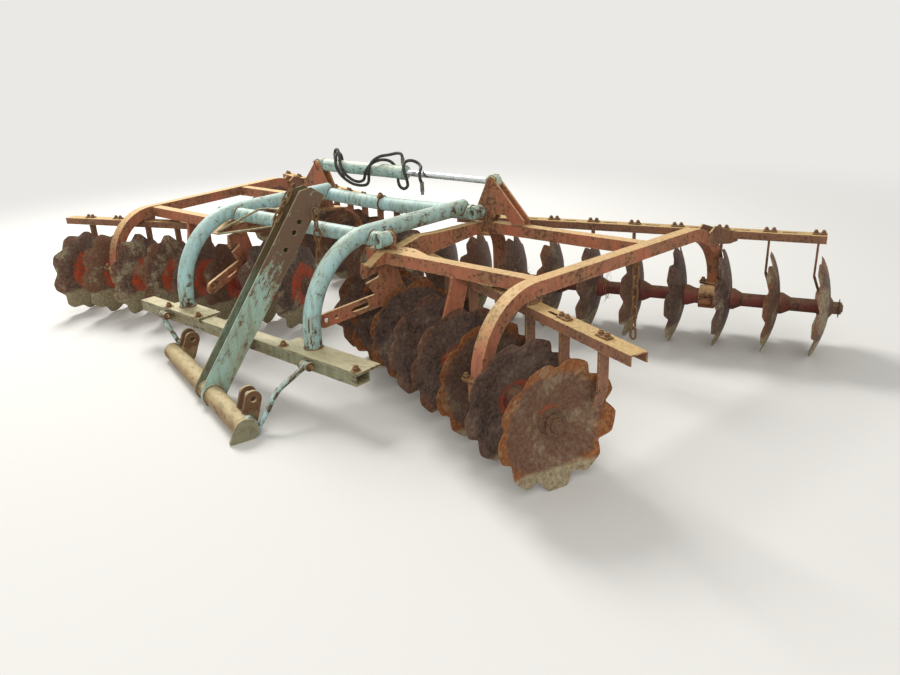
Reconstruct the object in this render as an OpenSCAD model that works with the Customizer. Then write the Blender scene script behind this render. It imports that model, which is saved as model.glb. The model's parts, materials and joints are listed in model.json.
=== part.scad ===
/* [Discs] */
// Diameter of every disc
disc_d = 510; // [480:5:530]
// Thickness of the disc steel
disc_t = 6; // [4:0.5:8]
// Depth of the dish, hub to rim
disc_dish = 62; // [50:1:70]
// Number of notches round each rim
notch_count = 9; // [8:1:10]
// Radius of one rounded lobe between two notches
lobe_r = 58; // [50:1:64]
// How deep a notch cuts in from the rim
notch_depth = 36; // [24:1:42]
// Spacing of the discs along a gang
disc_pitch = 228; // [222:1:240]

/* [Gangs] */
// Discs on each front gang
front_discs = 8; // [7:1:8]
// Discs on each rear gang
rear_discs = 10; // [9:1:10]
// Angle of the front gangs, outer ends forward
front_angle = 21; // [18:0.5:22]
// Angle of the rear gangs, outer ends back
rear_angle = 15.7; // [14:0.1:17]
// Distance of the front gangs' outer hubs from the centre line
front_hub_x = 1784; // [1760:1:1820]
// Distance of the rear gangs' outer hubs from the centre line
rear_hub_x = 2223; // [2200:1:2260]
// How far the rear outer hubs lie behind the front ones
rear_hub_y = 1789; // [1760:1:1820]
// Side of the square gang shaft
shaft_w = 32; // [28:1:34]
// Largest radius of a spool's bell ends
spool_bell_r = 54; // [50:1:56]
// Radius of a spool's waist
spool_waist_r = 34; // [30:1:36]
// Radius of the spool journal inside a bearing
journal_r = 40; // [38:1:44]
// Outer radius of a bearing housing
housing_r = 60; // [56:1:64]
// Length of a bearing housing
housing_l = 76; // [60:1:90]

/* [Wing frames] */
// Side of the square arch beam
arch_w = 60; // [50:1:66]
// Bend radius of the arch
arch_bend_r = 290; // [270:5:290]
// Height of the arch beam's centre line
arch_z = 620; // [618:1:640]
// Splay of the arches, wider at the rear
arch_splay = 7.86; // [7:0.01:8.5]
// Side of the square cross beams
beam_w = 58; // [50:1:62]
// Height of the cross beams' centre line
beam_z = 616; // [610:1:630]
// Wall of beams, channels and bars
beam_wall = 5; // [4:0.5:6]
// How far the front beam lies behind the front outer hubs
front_beam_y = 362; // [355:1:370]
// How far the rear beam lies behind the front outer hubs
rear_beam_y = 1104; // [1095:1:1120]
// Distance of the fold hinges from the centre line
hinge_x = 633; // [625:1:640]
// Height of the fold hinges
hinge_z = 700; // [695:1:710]
// Radius of the fold hinge pins
hinge_pin_r = 16; // [14:0.5:18]

/* [Centre frame] */
// Diameter of the two bent main tubes
main_d = 82; // [76:1:84]
// Distance of a main tube's foot from the centre line
main_foot_x = 530; // [520:1:532]
// Distance of a main tube's rear end from the centre line
main_rear_x = 550; // [540:1:552]
// Bend radius of the main tubes
main_bend_r = 400; // [380:1:410]
// Height of the main tubes' straight part
main_z = 722; // [718:1:728]
// Diameter of the front cross tube
cross_d = 74; // [68:1:76]
// Diameter of the rear cross tube
rear_cross_d = 80; // [74:1:84]
// How far the rear cross tube is bowed forward and down
rear_cross_sag = 24; // [10:1:30]
// How far the front cross tube lies behind the front outer hubs
front_cross_y = 337; // [330:1:340]
// How far the rear cross tube lies behind the front outer hubs
rear_cross_y = 1030; // [1020:1:1032]
// Outer diameter of the hinge eyes
eye_d = 72; // [66:1:74]
// Length of a hinge eye
eye_l = 70; // [60:1:72]
// Length of the lower cross bar
bar_l = 1792; // [1700:1:1800]
// Front to back width of the lower cross bar
bar_w = 80; // [70:1:90]
// Height of the lower cross bar's section
bar_h = 60; // [56:1:66]
// Height of the lower cross bar's centre
bar_z = 223; // [220:1:228]
// How far the lower cross bar lies ahead of the front outer hubs
bar_y = 88; // [84:1:96]

/* [Cylinder] */
// Distance of the cylinder pins from the centre line
apex_x = 700; // [690:1:705]
// Height of the cylinder pins
apex_z = 856; // [850:1:862]
// Radius of the cylinder pins
ram_pin_r = 12.5; // [10:0.5:14]
// Outer diameter of the barrel
barrel_d = 76; // [70:1:80]
// Wall of the barrel
barrel_wall = 7; // [5:0.5:8]
// Where the barrel's gland ends, from the centre line
gland_x = 60; // [40:1:64]
// Diameter of the rod
rod_d = 36; // [30:1:40]

/* [Headstock] */
// Outer diameter of the headstock tube
head_tube_d = 94; // [84:1:100]
// Wall of the headstock tube
head_tube_wall = 8; // [6:0.5:10]
// Length of the headstock tube
head_tube_l = 1146; // [1100:1:1160]
// Yaw of the headstock as it lies, right end forward
head_yaw = 15.5; // [15:0.5:16]
// How far the tube's middle lies ahead of the front outer hubs
head_y = 340; // [335:1:350]
// Lean of the mast, back from upright
mast_lean = 35; // [34:0.5:36]
// Length of the mast from the tube's axis
mast_l = 1075; // [1050:1:1080]
// Front to back depth of the mast's flanges
mast_depth = 120; // [110:1:126]
// Width of the mast channel
mast_w = 92; // [84:1:96]
// Radius of the top link pin holes
top_link_r = 13; // [12.5:0.1:16]
// Radius of the lower link pin holes
lower_link_r = 14.5; // [14:0.1:18.5]

/* [Hidden] */
$fn = 48;
fit = 0.3;
seat = 0.2;
hub_z = disc_d / 2;
shaft_clear = 0.3;
disc_sphere_r = (hub_z * hub_z + disc_dish * disc_dish) / (2 * disc_dish);
disc_flat_r = spool_bell_r + 4;
disc_flat_z = disc_sphere_r - sqrt(disc_sphere_r * disc_sphere_r - disc_flat_r * disc_flat_r);
spool_l = disc_pitch - disc_t - 2 * seat;
end_washer_t = 14;
end_nut_t = 26;

// Reach of the part, ahead of and behind the front outer hubs
head_dx = cos(head_yaw);
head_dy = sin(head_yaw);
head_mid_x = 33;
mast_x = 80;
chain_bolt = [40, mast_l - 90];
chain_bolt_r = 8;
chain_off = 25;
chain_r = 5;
chain_l = 70;
chain_w = 38;
head_tube_r = head_tube_d / 2;
head_plate_t = 9;
tongue = [-69, 9 - head_tube_r];
tongue_r = 9;
reach_front = head_y + (head_tube_l / 2 + head_plate_t) * head_dy + (tongue_r - tongue[0]) * head_dx;
disc_side = lobe_r + (hub_z - lobe_r) * max([for (k = [1 : notch_count]) sin(k * 360 / notch_count)]);
disc_rim_z = disc_sphere_r - disc_flat_z - sqrt((disc_sphere_r + disc_t / 2) ^ 2 - disc_side * disc_side);
reach_rear = rear_hub_y + disc_side * cos(rear_angle) - disc_rim_z * sin(rear_angle);
mid_y = (reach_rear - reach_front) / 2;

// Fold hinge and cylinder places
front_ear_y = front_cross_y + cross_d / 2 + 6;
rear_ear_y = rear_cross_y + rear_cross_d / 2 + 6;
rear_cross_lean = 35.8;
ear_t = 12;
lug_t = 34;
lug_play = 2;
ram_eye_r = 37;
port_x = [-545, 40];
port_r = 12;
port_top = 52;

// Hoses: centre lines in the cylinder's frame, from a port round the barrel to a coupler
hose_r = 9;
hose_sides = 10;
coupler_r = 12;
base_hose = [
  [port_x[0], 0, port_top], [-545, 0, 74], [-528, -8, 98], [-494, -20, 104], [-464, -38, 84], [-446, -52, 50],
  [-436, -55, 10], [-420, -42, -34], [-396, -20, -66], [-360, -16, -78], [-320, -16, -78], [-282, -20, -64],
  [-250, -38, -40], [-220, -54, -6], [-190, -50, 30], [-158, -28, 54], [-124, 4, 62], [-94, 36, 48],
  [-74, 56, 12], [-58, 50, -30], [-30, 24, -66], [6, 2, -86], [46, -8, -92], [84, -18, -72], [104, -40, -36],
  [106, -56, 4], [92, -50, 42], [84, -22, 66], [98, 10, 70], [132, 24, 58], [164, 14, 42], [192, -14, 36],
  [203, -38, 8], [204, -36, -24], [204, -24, -48], [204, -24, -68]
];
gland_hose = [
  [port_x[1], 0, port_top], [40, 0, 74], [22, 10, 100], [-14, 18, 104], [-52, 20, 98], [-92, 12, 90],
  [-126, -16, 84], [-150, -50, 64], [-165, -68, 34], [-180, -66, 0], [-212, -40, -42], [-244, -16, -74],
  [-282, 0, -96], [-322, 2, -104], [-362, -2, -104], [-400, -6, -98], [-434, -22, -76], [-460, -44, -40],
  [-476, -58, 4], [-483, -54, 44], [-496, -30, 76], [-514, 4, 80], [-534, 38, 62], [-548, 58, 26],
  [-552, 60, -14], [-552, 60, -42]
];
apex_r = 27;
pin_head_t = 8;
foot_x = 905;
link_x = 600;
front_in_x = 520;
rear_in_x = 640;
inner_x = 597;
inner_w = 53;
main_foot_back = 40;
foot_plate_t = 12;

// Arch: front and rear legs along the arch's own line from the front housing
arch_x0 = 1465;
arch_y0 = 120;
arch_front_leg = -90;
arch_rear_leg = 1595;
arch_foot_z = hub_z + housing_r + 2 * seat;

// Bearings: gang position counted in discs from the outer end
front_arch_at = 1.5;
front_post_at = 3.5;
front_plate_at = 5.5;
rear_arch_at = 2.5;
rear_arm_at = 7.5;

// Scraper bars
scraper_bar_w = 74;
scraper_bar_h = 40;
front_scraper_y = 172;
front_scraper_z = 545;
front_scraper_out = 260;
front_scraper_in = (front_discs - 2) * disc_pitch - 38;
rear_scraper_y = 150;
rear_scraper_z = 560;
rear_scraper_out = -45;
rear_scraper_in = (rear_discs - 1) * disc_pitch - 12;
scraper_off = 80;
scraper_w = 45;
scraper_t = 10;

// Puts a piece drawn from the front outer hubs into the part's own frame
module at_part() {
  translate([0, -mid_y, 0]) children();
}

// The left wing's pieces are the right wing's, mirrored
module side(s) {
  if (s < 0) mirror([1, 0, 0]) children();
  else children();
}

// A round bar from p to q
module rod(p, q, r) {
  v = q - p;
  l = norm(v);
  translate(p)
    rotate([0, acos(v[2] / l), atan2(v[1], v[0])])
      cylinder(r = r, h = l);
}

// A flat strap between two round ends, drawn in the plane
module strap2d(p, q, r) {
  v = q - p;
  l = norm(v);
  translate(p) rotate(atan2(v[1], v[0])) {
    translate([0, -r]) square([l, 2 * r]);
    circle(r);
    translate([l, 0]) circle(r);
  }
}

// A flat strap tapering from a round end of radius a at p to one of radius b at q
module taper2d(p, a, q, b) {
  v = q - p;
  l = norm(v);
  tilt = acos((a - b) / l);
  edge = [cos(tilt), sin(tilt)];
  under = [cos(tilt), -sin(tilt)];
  translate(p) rotate(atan2(v[1], v[0])) {
    circle(a);
    translate([l, 0]) circle(b);
    polygon([a * edge, [l, 0] + b * edge, [l, 0] + b * under, a * under]);
  }
}

// Stands a drawing up in the XZ plane, from y to y + t
module upright(y, t) {
  translate([0, y + t, 0]) rotate([90, 0, 0]) linear_extrude(t) children();
}

// Stands a drawing of [y, z] up in the YZ plane, from x to x + t
module sideways(x, t) {
  translate([x, 0, 0]) rotate([90, 0, 90]) linear_extrude(t) children();
}

// Frames of the right-hand gangs: local +X runs out along the shaft
module front_gang() {
  translate([front_hub_x, 0, hub_z]) rotate([0, 0, -front_angle]) children();
}
module rear_gang() {
  translate([rear_hub_x, rear_hub_y, hub_z]) rotate([0, 0, rear_angle]) children();
}

// Frame of the right-hand arch: local +Y runs back along it
module arch_frame() {
  translate([arch_x0, arch_y0, 0]) rotate([0, 0, -arch_splay]) children();
}

// Where the arch's inner face lies for a given y
function arch_face_x(y) = arch_x0 + (y - arch_y0) * tan(arch_splay) - (arch_w / 2 + seat) / cos(arch_splay);

// Half section of a dished disc: radius across, axis up
module disc_section() {
  translate([0, -disc_t / 2]) square([disc_flat_r + 1, disc_t]);
  translate([0, disc_sphere_r - disc_flat_z])
    intersection() {
      difference() {
        circle(r = disc_sphere_r + disc_t / 2, $fn = 240);
        circle(r = disc_sphere_r - disc_t / 2, $fn = 240);
      }
      translate([disc_flat_r, -disc_sphere_r - disc_t])
        square([hub_z - disc_flat_r, disc_dish + 3 * disc_t]);
    }
}

// Outline of a notched disc: worn, rounded lobes round a smaller circle
module disc_outline() {
  circle(r = hub_z - notch_depth);
  for (k = [0 : notch_count - 1])
    rotate(k * 360 / notch_count) translate([hub_z - lobe_r, 0]) circle(r = lobe_r);
}

// One notched disc on the local X axis, open side to +X
module disc() {
  rotate([0, 90, 0])
    difference() {
      intersection() {
        rotate_extrude($fn = 96) disc_section();
        translate([0, 0, -disc_dish]) linear_extrude(3 * disc_dish) disc_outline();
      }
      cube([shaft_w + 2 * shaft_clear, shaft_w + 2 * shaft_clear, 4 * disc_t], center = true);
    }
}

// open = 1 where the discs open outwards, -1 where they open inwards
module disc_row(n, open) {
  for (i = [0 : n - 1])
    translate([-i * disc_pitch, 0, 0])
      mirror([open < 0 ? 1 : 0, 0, 0]) disc();
}

// Bell-ended spool between two discs, or a journal where a bearing sits
module spool(journal) {
  waist = journal ? journal_r : spool_waist_r;
  half = spool_l / 2;
  bore = shaft_w * sqrt(2) / 2 + shaft_clear;
  rotate([0, 90, 0])
    difference() {
      rotate_extrude()
        polygon([
          [0, -half], [spool_bell_r, -half], [spool_bell_r, 14 - half], [waist, 52 - half],
          [waist, half - 52], [spool_bell_r, half - 14], [spool_bell_r, half], [0, half]
        ]);
      cylinder(r = bore, h = 2 * spool_l, center = true);
    }
}

module spool_row(n, journals) {
  for (i = [0 : n - 2])
    translate([-(i + 0.5) * disc_pitch, 0, 0])
      spool(len(search(i + 0.5, journals)) > 0);
}

// Square shaft with a dished washer and a nut at each end
module shaft(n) {
  l = (n - 1) * disc_pitch;
  end = disc_t / 2 + seat;
  reach = end + end_washer_t + end_nut_t + 12;
  translate([-l / 2, 0, 0]) {
    cube([l + 2 * reach - 40, shaft_w, shaft_w], center = true);
    for (m = [-1, 1]) {
      translate([m * (l / 2 + end), 0, 0])
        rotate([0, m * 90, 0]) {
          cylinder(r1 = spool_bell_r, r2 = spool_waist_r, h = end_washer_t);
          cylinder(r = shaft_w, h = end_washer_t + end_nut_t, $fn = 6);
          cylinder(r = shaft_w / 2, h = reach);
        }
    }
  }
}

// Bearing housing round a journal, a split ring with two clamping flanges
module housing() {
  rotate([0, 90, 0])
    difference() {
      union() {
        cylinder(r = housing_r, h = housing_l, center = true);
        cube([26, 2 * housing_r + 44, housing_l - 20], center = true);
      }
      cylinder(r = journal_r + fit, h = 2 * housing_l, center = true);
    }
}

module left_main_tube() { at_part() side(-1) main_tube(); }
module right_main_tube() { at_part() side(1) main_tube(); }
// Foot, quarter bend and straight run back to the rear cross tube
module main_tube() {
  r = main_d / 2;
  foot_y = main_foot_back - bar_y;
  foot_z = bar_z + bar_h / 2 + foot_plate_t + seat;
  bend_z = main_z - main_bend_r;
  back = rear_cross_y - foot_y;
  flare = atan((main_rear_x - main_foot_x) / back);
  color("#7fc4c6")
    difference() {
      translate([main_foot_x, foot_y, 0]) rotate([0, 0, -flare]) {
        translate([0, 0, foot_z]) cylinder(r = r, h = bend_z - foot_z);
        translate([0, main_bend_r, bend_z])
          rotate([90, 0, 90]) rotate([0, 0, 90])
            rotate_extrude(angle = 90, $fn = 96) translate([main_bend_r, 0]) circle(r = r);
        translate([0, main_bend_r, main_z]) rotate([-90, 0, 0])
          cylinder(r = r, h = back / cos(flare) - main_bend_r);
      }
      cross_tube_cuts();
    }
}

// Room in the main tubes for the cross tubes that are welded through them
module cross_tube_cuts() {
  translate([main_foot_x, front_cross_y, hinge_z]) rotate([0, 90, 0])
    cylinder(r = cross_d / 2 + seat, h = 400, center = true);
  rear_cross_bow(rear_cross_d / 2 + seat);
}

// Hinge eye at a cross tube's end
module eye() {
  rotate([90, 0, 0]) cylinder(r = eye_d / 2, h = eye_l, center = true);
}
module eye_bore() {
  rotate([90, 0, 0]) cylinder(r = hinge_pin_r + fit, h = 2 * eye_l, center = true);
}

module front_cross_tube() {
  color("#8fcfcf") at_part()
    translate([0, front_cross_y, hinge_z])
      difference() {
        union() {
          rotate([0, 90, 0]) cylinder(r = cross_d / 2, h = 2 * hinge_x, center = true);
          for (m = [-1, 1]) translate([m * hinge_x, 0, 0]) eye();
        }
        for (m = [-1, 1]) translate([m * hinge_x, 0, 0]) eye_bore();
      }
}

// A point of the leaning mast, in its own [y, z], seen from the headstock tube
function mast_side(y, z) = [
  y * cos(mast_lean) + z * sin(mast_lean),
  z * cos(mast_lean) - y * sin(mast_lean)
];

module rear_cross_tube() {
  color("#8fcfcf") at_part()
    difference() {
      union() {
        rear_cross_bow(rear_cross_d / 2);
        for (m = [-1, 1]) translate([m * hinge_x, rear_cross_y, hinge_z]) eye();
      }
      for (m = [-1, 1]) translate([m * hinge_x, rear_cross_y, hinge_z]) eye_bore();
    }
}

// The bowed tube of radius r between the rear hinge eyes
module rear_cross_bow(r) {
  bow_r = (hinge_x * hinge_x + rear_cross_sag * rear_cross_sag) / (2 * rear_cross_sag);
  half = asin((hinge_x - eye_d / 4) / bow_r);
  translate([0, rear_cross_y, hinge_z]) rotate([rear_cross_lean, 0, 0])
    translate([0, bow_r - rear_cross_sag, 0]) rotate([0, 0, -90 - half])
      rotate_extrude(angle = 2 * half, $fn = 720) translate([bow_r, 0]) circle(r = r, $fn = 48);
}

// Box bar with open ends, foot plates and link lugs
module lower_cross_bar() {
  plates = [[-636, -286], [368, 921]];
  plate_front = -bar_w / 2 - 10;
  plate_back = main_foot_back + main_d / 2 + 2;
  color("#b9cdb6") at_part()
    translate([0, -bar_y, bar_z]) {
      difference() {
        cube([bar_l, bar_w, bar_h], center = true);
        cube([bar_l + 2, bar_w - 2 * beam_wall, bar_h - 2 * beam_wall], center = true);
      }
      for (p = plates)
        translate([p[0], plate_front, bar_h / 2]) cube([p[1] - p[0], plate_back - plate_front, foot_plate_t]);
      for (m = [-1, 1]) translate([m * link_x, 0, 0]) link_lug();
    }
}

// Pair of small ears on the bar's front face, with a shackle pin
module link_lug() {
  difference() {
    for (m = [-1, 1])
      sideways(m * 21 - 4, 8) strap2d([-bar_w / 2 + 10, 0], [-bar_w / 2 - 30, 6], 20);
    cube([100, bar_w - 0.01, 100], center = true);
  }
  translate([0, -bar_w / 2 - 30, 6]) rotate([0, 90, 0]) cylinder(r = 9, h = 60, center = true);
}

// Places of the headstock: its tube's middle, then local +X along the tube to the right
module head_frame() {
  translate([head_mid_x, -head_y, head_tube_r]) rotate([0, 0, -head_yaw]) children();
}
function head_point(x, y, z) = [
  head_mid_x + x * head_dx + y * head_dy,
  -head_y - x * head_dy + y * head_dx,
  head_tube_r + z
];

// Two thin bent links from the bar's lugs down to hooks behind the headstock tube
module drag_links() {
  r = 12.5;
  drop = 40;
  right = [link_x, -bar_y - bar_w / 2 - 30, bar_z + 6];
  left = [-right[0], right[1], right[2]];
  color("#86c3c4") at_part() {
    drag_link(548, r, [right, [588, -303, 168], [585, -339, 136], [582, -368, 95]]);
    drag_link(-548, r, [left, left - [0, 0, drop]]);
  }
}

// One link through the points of a line, from its eye to the hook at x along the headstock
module drag_link(x, r, line) {
  hook_w = 30;
  path = concat(line, [head_point(x, head_tube_r + 13, -20)]);
  difference() {
    union() {
      for (i = [0 : len(path) - 2]) {
        rod(path[i], path[i + 1], r);
        translate(path[i + 1]) sphere(r = r + 0.5);
      }
      translate(path[0]) rotate([0, 90, 0]) cylinder(r = 20, h = 30, center = true);
      head_frame() translate([x - hook_w / 2, 0, 0]) sideways(0, hook_w)
        intersection() {
          circle(r = head_tube_r + 12);
          translate([14, -head_tube_r]) square([head_tube_r, 2 * head_tube_r]);
        }
    }
    translate(path[0]) rotate([0, 90, 0]) cylinder(r = 9 + fit, h = 40, center = true);
    head_frame() translate([x, 0, 0]) rotate([0, 90, 0]) cylinder(r = head_tube_r + fit, h = 120, center = true);
    translate([-2000, -2000, -100]) cube([4000, 4000, 100]);
  }
}

// Tube on the ground, with its end plate and two pairs of lower link ears
module headstock_tube() {
  ear_x = 465;
  gap = 52;
  lug = 14;
  lug_r = 38;
  ends = [[-ear_x, 78, 94], [ear_x, 72, 98]];
  color("#b59a6c") at_part() head_frame() {
    difference() {
      union() {
        rotate([0, 90, 0]) cylinder(r = head_tube_r, h = head_tube_l, center = true);
        for (e = ends, k = [-1, 1])
          translate([e[0], 0, 0])
            sideways(k * (gap + lug) / 2 - lug / 2, lug) strap2d([46, 14], [e[1], e[2]], lug_r);
        translate([head_tube_l / 2 - 1, 0, 0])
          sideways(0, head_plate_t + 1) intersection() {
            taper2d([0, 0], head_tube_r + 7, tongue, tongue_r);
            translate([-200, -head_tube_r]) square([400, 400]);
          }
      }
      rotate([0, 90, 0]) cylinder(r = head_tube_r - head_tube_wall, h = head_tube_l - 30, center = true);
      for (e = ends)
        translate(e) rotate([0, 90, 0]) cylinder(r = lower_link_r, h = 3 * gap, center = true);
      translate([-head_tube_l, -200, -head_tube_r - 200]) cube([2 * head_tube_l, 400, 200]);
    }
  }
}

// Deep channel, open to the front, with collars round the tube, top link holes through
// both flanges and the bolt that its chain hangs on
module mast() {
  wall = 8;
  holes_down = [315, 225, 170];
  groove_from = 150;
  groove_l = mast_l - 515;
  collar = 12;
  groove = 1.5;
  color("#7d9c8b") at_part() head_frame() translate([mast_x, 0, 0])
    difference() {
      union() {
        rotate([-mast_lean, 0, 0]) {
          difference() {
            translate([-mast_w / 2, -mast_depth / 2, 0]) cube([mast_w, mast_depth, mast_l]);
            translate([-mast_w / 2 + wall, -mast_depth / 2 - 1, -1])
              cube([mast_w - 2 * wall, mast_depth + 1 - wall, mast_l + 2]);
            for (down = holes_down)
              translate([0, 8, mast_l - down]) rotate([0, 90, 0]) cylinder(r = top_link_r, h = 2 * mast_w, center = true);
            for (y = [-34, 24])
              translate([mast_w / 2 - groove, y, groove_from]) cube([2 * groove, 10, groove_l]);
            translate([0, -mast_depth / 2, mast_l]) rotate([45, 0, 0])
              cube([2 * mast_w, 60, 60], center = true);
          }
          translate([mast_w / 2 - wall / 2, chain_bolt[0], chain_bolt[1]]) rotate([0, 90, 0]) {
            cylinder(r = chain_bolt_r, h = wall / 2 + 2 * chain_off);
            translate([0, 0, wall / 2 + 2 * chain_off - 6]) cylinder(r = 14, h = 6);
          }
        }
        for (x = [-mast_w / 2 - collar, mast_w / 2 - 1])
          translate([x, 0, 0]) rotate([0, 90, 0]) cylinder(r = head_tube_r + 10, h = collar + 1);
      }
      rotate([0, 90, 0]) cylinder(r = head_tube_r + seat, h = 2 * mast_w, center = true);
      translate([-200, -200, -head_tube_r - 200]) cube([400, 400, 200]);
    }
}

module left_arch() { at_part() side(-1) arch(); }
module right_arch() { at_part() side(1) arch(); }
// Square beam bent over both gangs, each foot ending in a plate at its bearing
module arch() {
  hw = arch_w / 2;
  bend_z = arch_z - arch_bend_r;
  y_front = arch_front_leg + arch_bend_r;
  y_rear = arch_rear_leg - arch_bend_r;
  color("#b8492a") arch_frame() {
    translate([-hw, y_front, arch_z - hw]) cube([arch_w, y_rear - y_front, arch_w]);
    for (e = [[y_front, 90], [y_rear, 0]])
      translate([0, e[0], bend_z]) rotate([90, 0, 90]) rotate([0, 0, e[1]])
        rotate_extrude(angle = 90, $fn = 96) translate([arch_bend_r, 0]) square(arch_w, center = true);
    for (y = [arch_front_leg, arch_rear_leg])
      translate([-hw, y - hw, arch_foot_z]) cube([arch_w, arch_w, bend_z - arch_foot_z]);
  }
}

// Cross beam from the hinge to the arch's inner face
module cross_beam(y, x_in) {
  hw = beam_w / 2;
  translate([0, y, beam_z - hw])
    linear_extrude(beam_w)
      polygon([[x_in, -hw], [arch_face_x(y - hw), -hw], [arch_face_x(y + hw), hw], [x_in, hw]]);
}

module left_front_beam() { at_part() side(-1) front_beam(); }
module right_front_beam() { at_part() side(1) front_beam(); }
// Beam with its hinge ear, hinge pin and wedge-shaped top plate
module front_beam() {
  top = beam_z + beam_w / 2;
  ear_half = 28;
  ear_r = 33;
  wedge_t = 10;
  wedge_in = inner_x + inner_w + 14;
  back = beam_w / 2;
  color("#b4502e") {
    cross_beam(front_beam_y, front_in_x);
    upright(front_ear_y, ear_t) {
      translate([hinge_x, hinge_z]) circle(r = ear_r);
      polygon([
        [hinge_x - ear_half, hinge_z], [hinge_x + ear_half, hinge_z],
        [hinge_x + ear_half + 12, top - 1], [hinge_x - ear_half - 12, top - 1]
      ]);
    }
    hinge_pin(front_cross_y, front_ear_y + ear_t);
    translate([wedge_in, front_beam_y, top - wedge_t])
      linear_extrude(wedge_t) difference() {
        polygon([[0, back - 1], [210, back - 1], [70, back + 58], [0, back + 58]]);
        for (p = [[18, 18], [50, 18], [100, 14], [18, 42]]) translate([p[0] - 7, back + p[1] - 7]) square(14);
      }
  }
}

// Pin through an eye, ending well inside its open face
module hinge_pin(eye_y, back) {
  front = eye_y - eye_l / 2 + 24;
  translate([hinge_x, back, hinge_z]) rotate([90, 0, 0]) cylinder(r = hinge_pin_r, h = back - front);
}

module left_rear_beam() { at_part() side(-1) rear_beam(); }
module right_rear_beam() { at_part() side(1) rear_beam(); }
module rear_beam() {
  color("#b4502e") cross_beam(rear_beam_y, rear_in_x);
}

module left_inner_beam() { at_part() side(-1) inner_beam(); }
module right_inner_beam() { at_part() side(1) inner_beam(); }
// Fore-and-aft channel that ties the two beams under the hinge line, and its nose
// ahead of the front beam
module inner_beam() {
  y_nose = 237;
  y0 = front_beam_y - beam_w / 2 - seat;
  y1 = front_beam_y + beam_w / 2 + seat;
  y2 = rear_beam_y - beam_w / 2 - seat;
  low = beam_z - beam_w / 2;
  high = beam_z + beam_w / 2;
  rim = 6;
  belly = low - 21;
  arm_y = 1035;
  color("#a5502f") {
    sideways(inner_x, inner_w)
      polygon([[y_nose, low + 3], [y0, low], [y0, high], [y_nose, low + 9]]);
    difference() {
      sideways(inner_x, inner_w)
        polygon([
          [y1, low], [425, low], [644, belly], [arm_y, low], [y2, low], [y2, high],
          [715, high + 13], [586, high + 25], [476, high + 4], [y1, high - 12]
        ]);
      sideways(inner_x - rim, inner_w)
        polygon([
          [y1 - 1, low + rim], [425, low + rim], [644, belly + rim], [arm_y, low + rim], [y2 + 1, low + rim],
          [y2 + 1, high - rim], [715, high + 13 - rim], [586, high + 25 - rim],
          [476, high + 4 - rim], [y1 - 1, high - 12 - rim]
        ]);
    }
  }
}

module left_ram_bracket() { at_part() side(-1) ram_bracket(true); }
module right_ram_bracket() { at_part() side(1) ram_bracket(false); }
// Two triangular plates on the rear beam: they hold the cylinder's pin and the hinge pin.
// On the rod's side only the pin's ends are here, its middle turns with the rod's eye.
module ram_bracket(through) {
  top = beam_z + beam_w / 2 + seat;
  front = rear_ear_y;
  back = front + ear_t + lug_t + 2 * lug_play;
  color("#bf4a2b") {
    for (y = [front, back])
      upright(y, ear_t) difference() {
        union() {
          taper2d([apex_x, apex_z], apex_r, [hinge_x, hinge_z], eye_d / 2);
          polygon([[apex_x - 8, apex_z + 20], [apex_x + 25, apex_z + 6], [foot_x, top + 30], [foot_x, top], [hinge_x + 10, top]]);
        }
        polygon([
          [apex_x, top - 1], [apex_x + 140, top - 1], [apex_x + 90, top + 46], [apex_x + 26, top + 46]
        ]);
        translate([500, top - 100]) square([500, 100]);
      }
    if (through)
      translate([apex_x, back, apex_z]) rotate([90, 0, 0]) cylinder(r = ram_pin_r, h = back - front);
    for (y = [front, back + ear_t + pin_head_t])
      translate([apex_x, y, apex_z]) rotate([90, 0, 0]) cylinder(r = ram_pin_r + 6, h = pin_head_t);
    hinge_pin(rear_cross_y, back + ear_t);
  }
}

module left_front_hangers() { at_part() side(-1) front_hangers(); }
module right_front_hangers() { at_part() side(1) front_hangers(); }
// Three front bearings: under the arch's foot, on a post and on the slotted plate
module front_hangers() {
  under = beam_z - beam_w / 2 - seat - hub_z;
  color("#a2462c") {
    difference() {
      union() {
        front_gang() translate([-front_arch_at * disc_pitch, 0, 0]) housing();
        foot_block(arch_front_leg);
      }
      front_gang() journal_cut(front_arch_at);
    }
    front_gang() {
      translate([-front_post_at * disc_pitch, 0, 0]) {
        housing();
        hanger_post(under);
      }
      translate([-front_plate_at * disc_pitch, 0, 0]) {
        housing();
        gang_plate(under);
      }
    }
  }
}

// Room for the journal at one place along a gang
module journal_cut(at) {
  translate([-at * disc_pitch, 0, 0]) rotate([0, 90, 0])
    cylinder(r = journal_r + fit, h = 2 * housing_l, center = true);
}

// Block under an arch's foot, which joins it to the housing beside it
module foot_block(leg) {
  w = arch_w + 16;
  low = hub_z - 30;
  arch_frame() translate([-w / 2, leg - w / 2, low]) cube([w, w, arch_foot_z - seat - low]);
}

// Upright flat post from a housing to the underside of the front beam
module hanger_post(under) {
  difference() {
    sideways(-8, 16) polygon([[-50, 20], [50, 20], [118, under - 60], [118, under], [44, under], [34, under - 60]]);
    rotate([0, 90, 0]) cylinder(r = journal_r + fit, h = 2 * housing_l, center = true);
  }
}

// Slotted plate that carries the inner end, with an arm forward for setting the angle
module gang_plate(under) {
  setting_holes = [[-340, 100], [-390, 92]];
  difference() {
    sideways(-8, 16) difference() {
      union() {
        polygon([[-50, 20], [50, 20], [60, 90], [-30, under], [-190, under], [-200, under - 60], [-110, 130]]);
        strap2d([-60, 150], [-400, 90], 34);
      }
      strap2d([-180, 245], [-120, 265], 14);
      strap2d([-250, 116], [-180, 128], 12);
      for (p = setting_holes) translate(p) circle(r = 11);
    }
    rotate([0, 90, 0]) cylinder(r = journal_r + fit, h = 2 * housing_l, center = true);
  }
}

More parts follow.
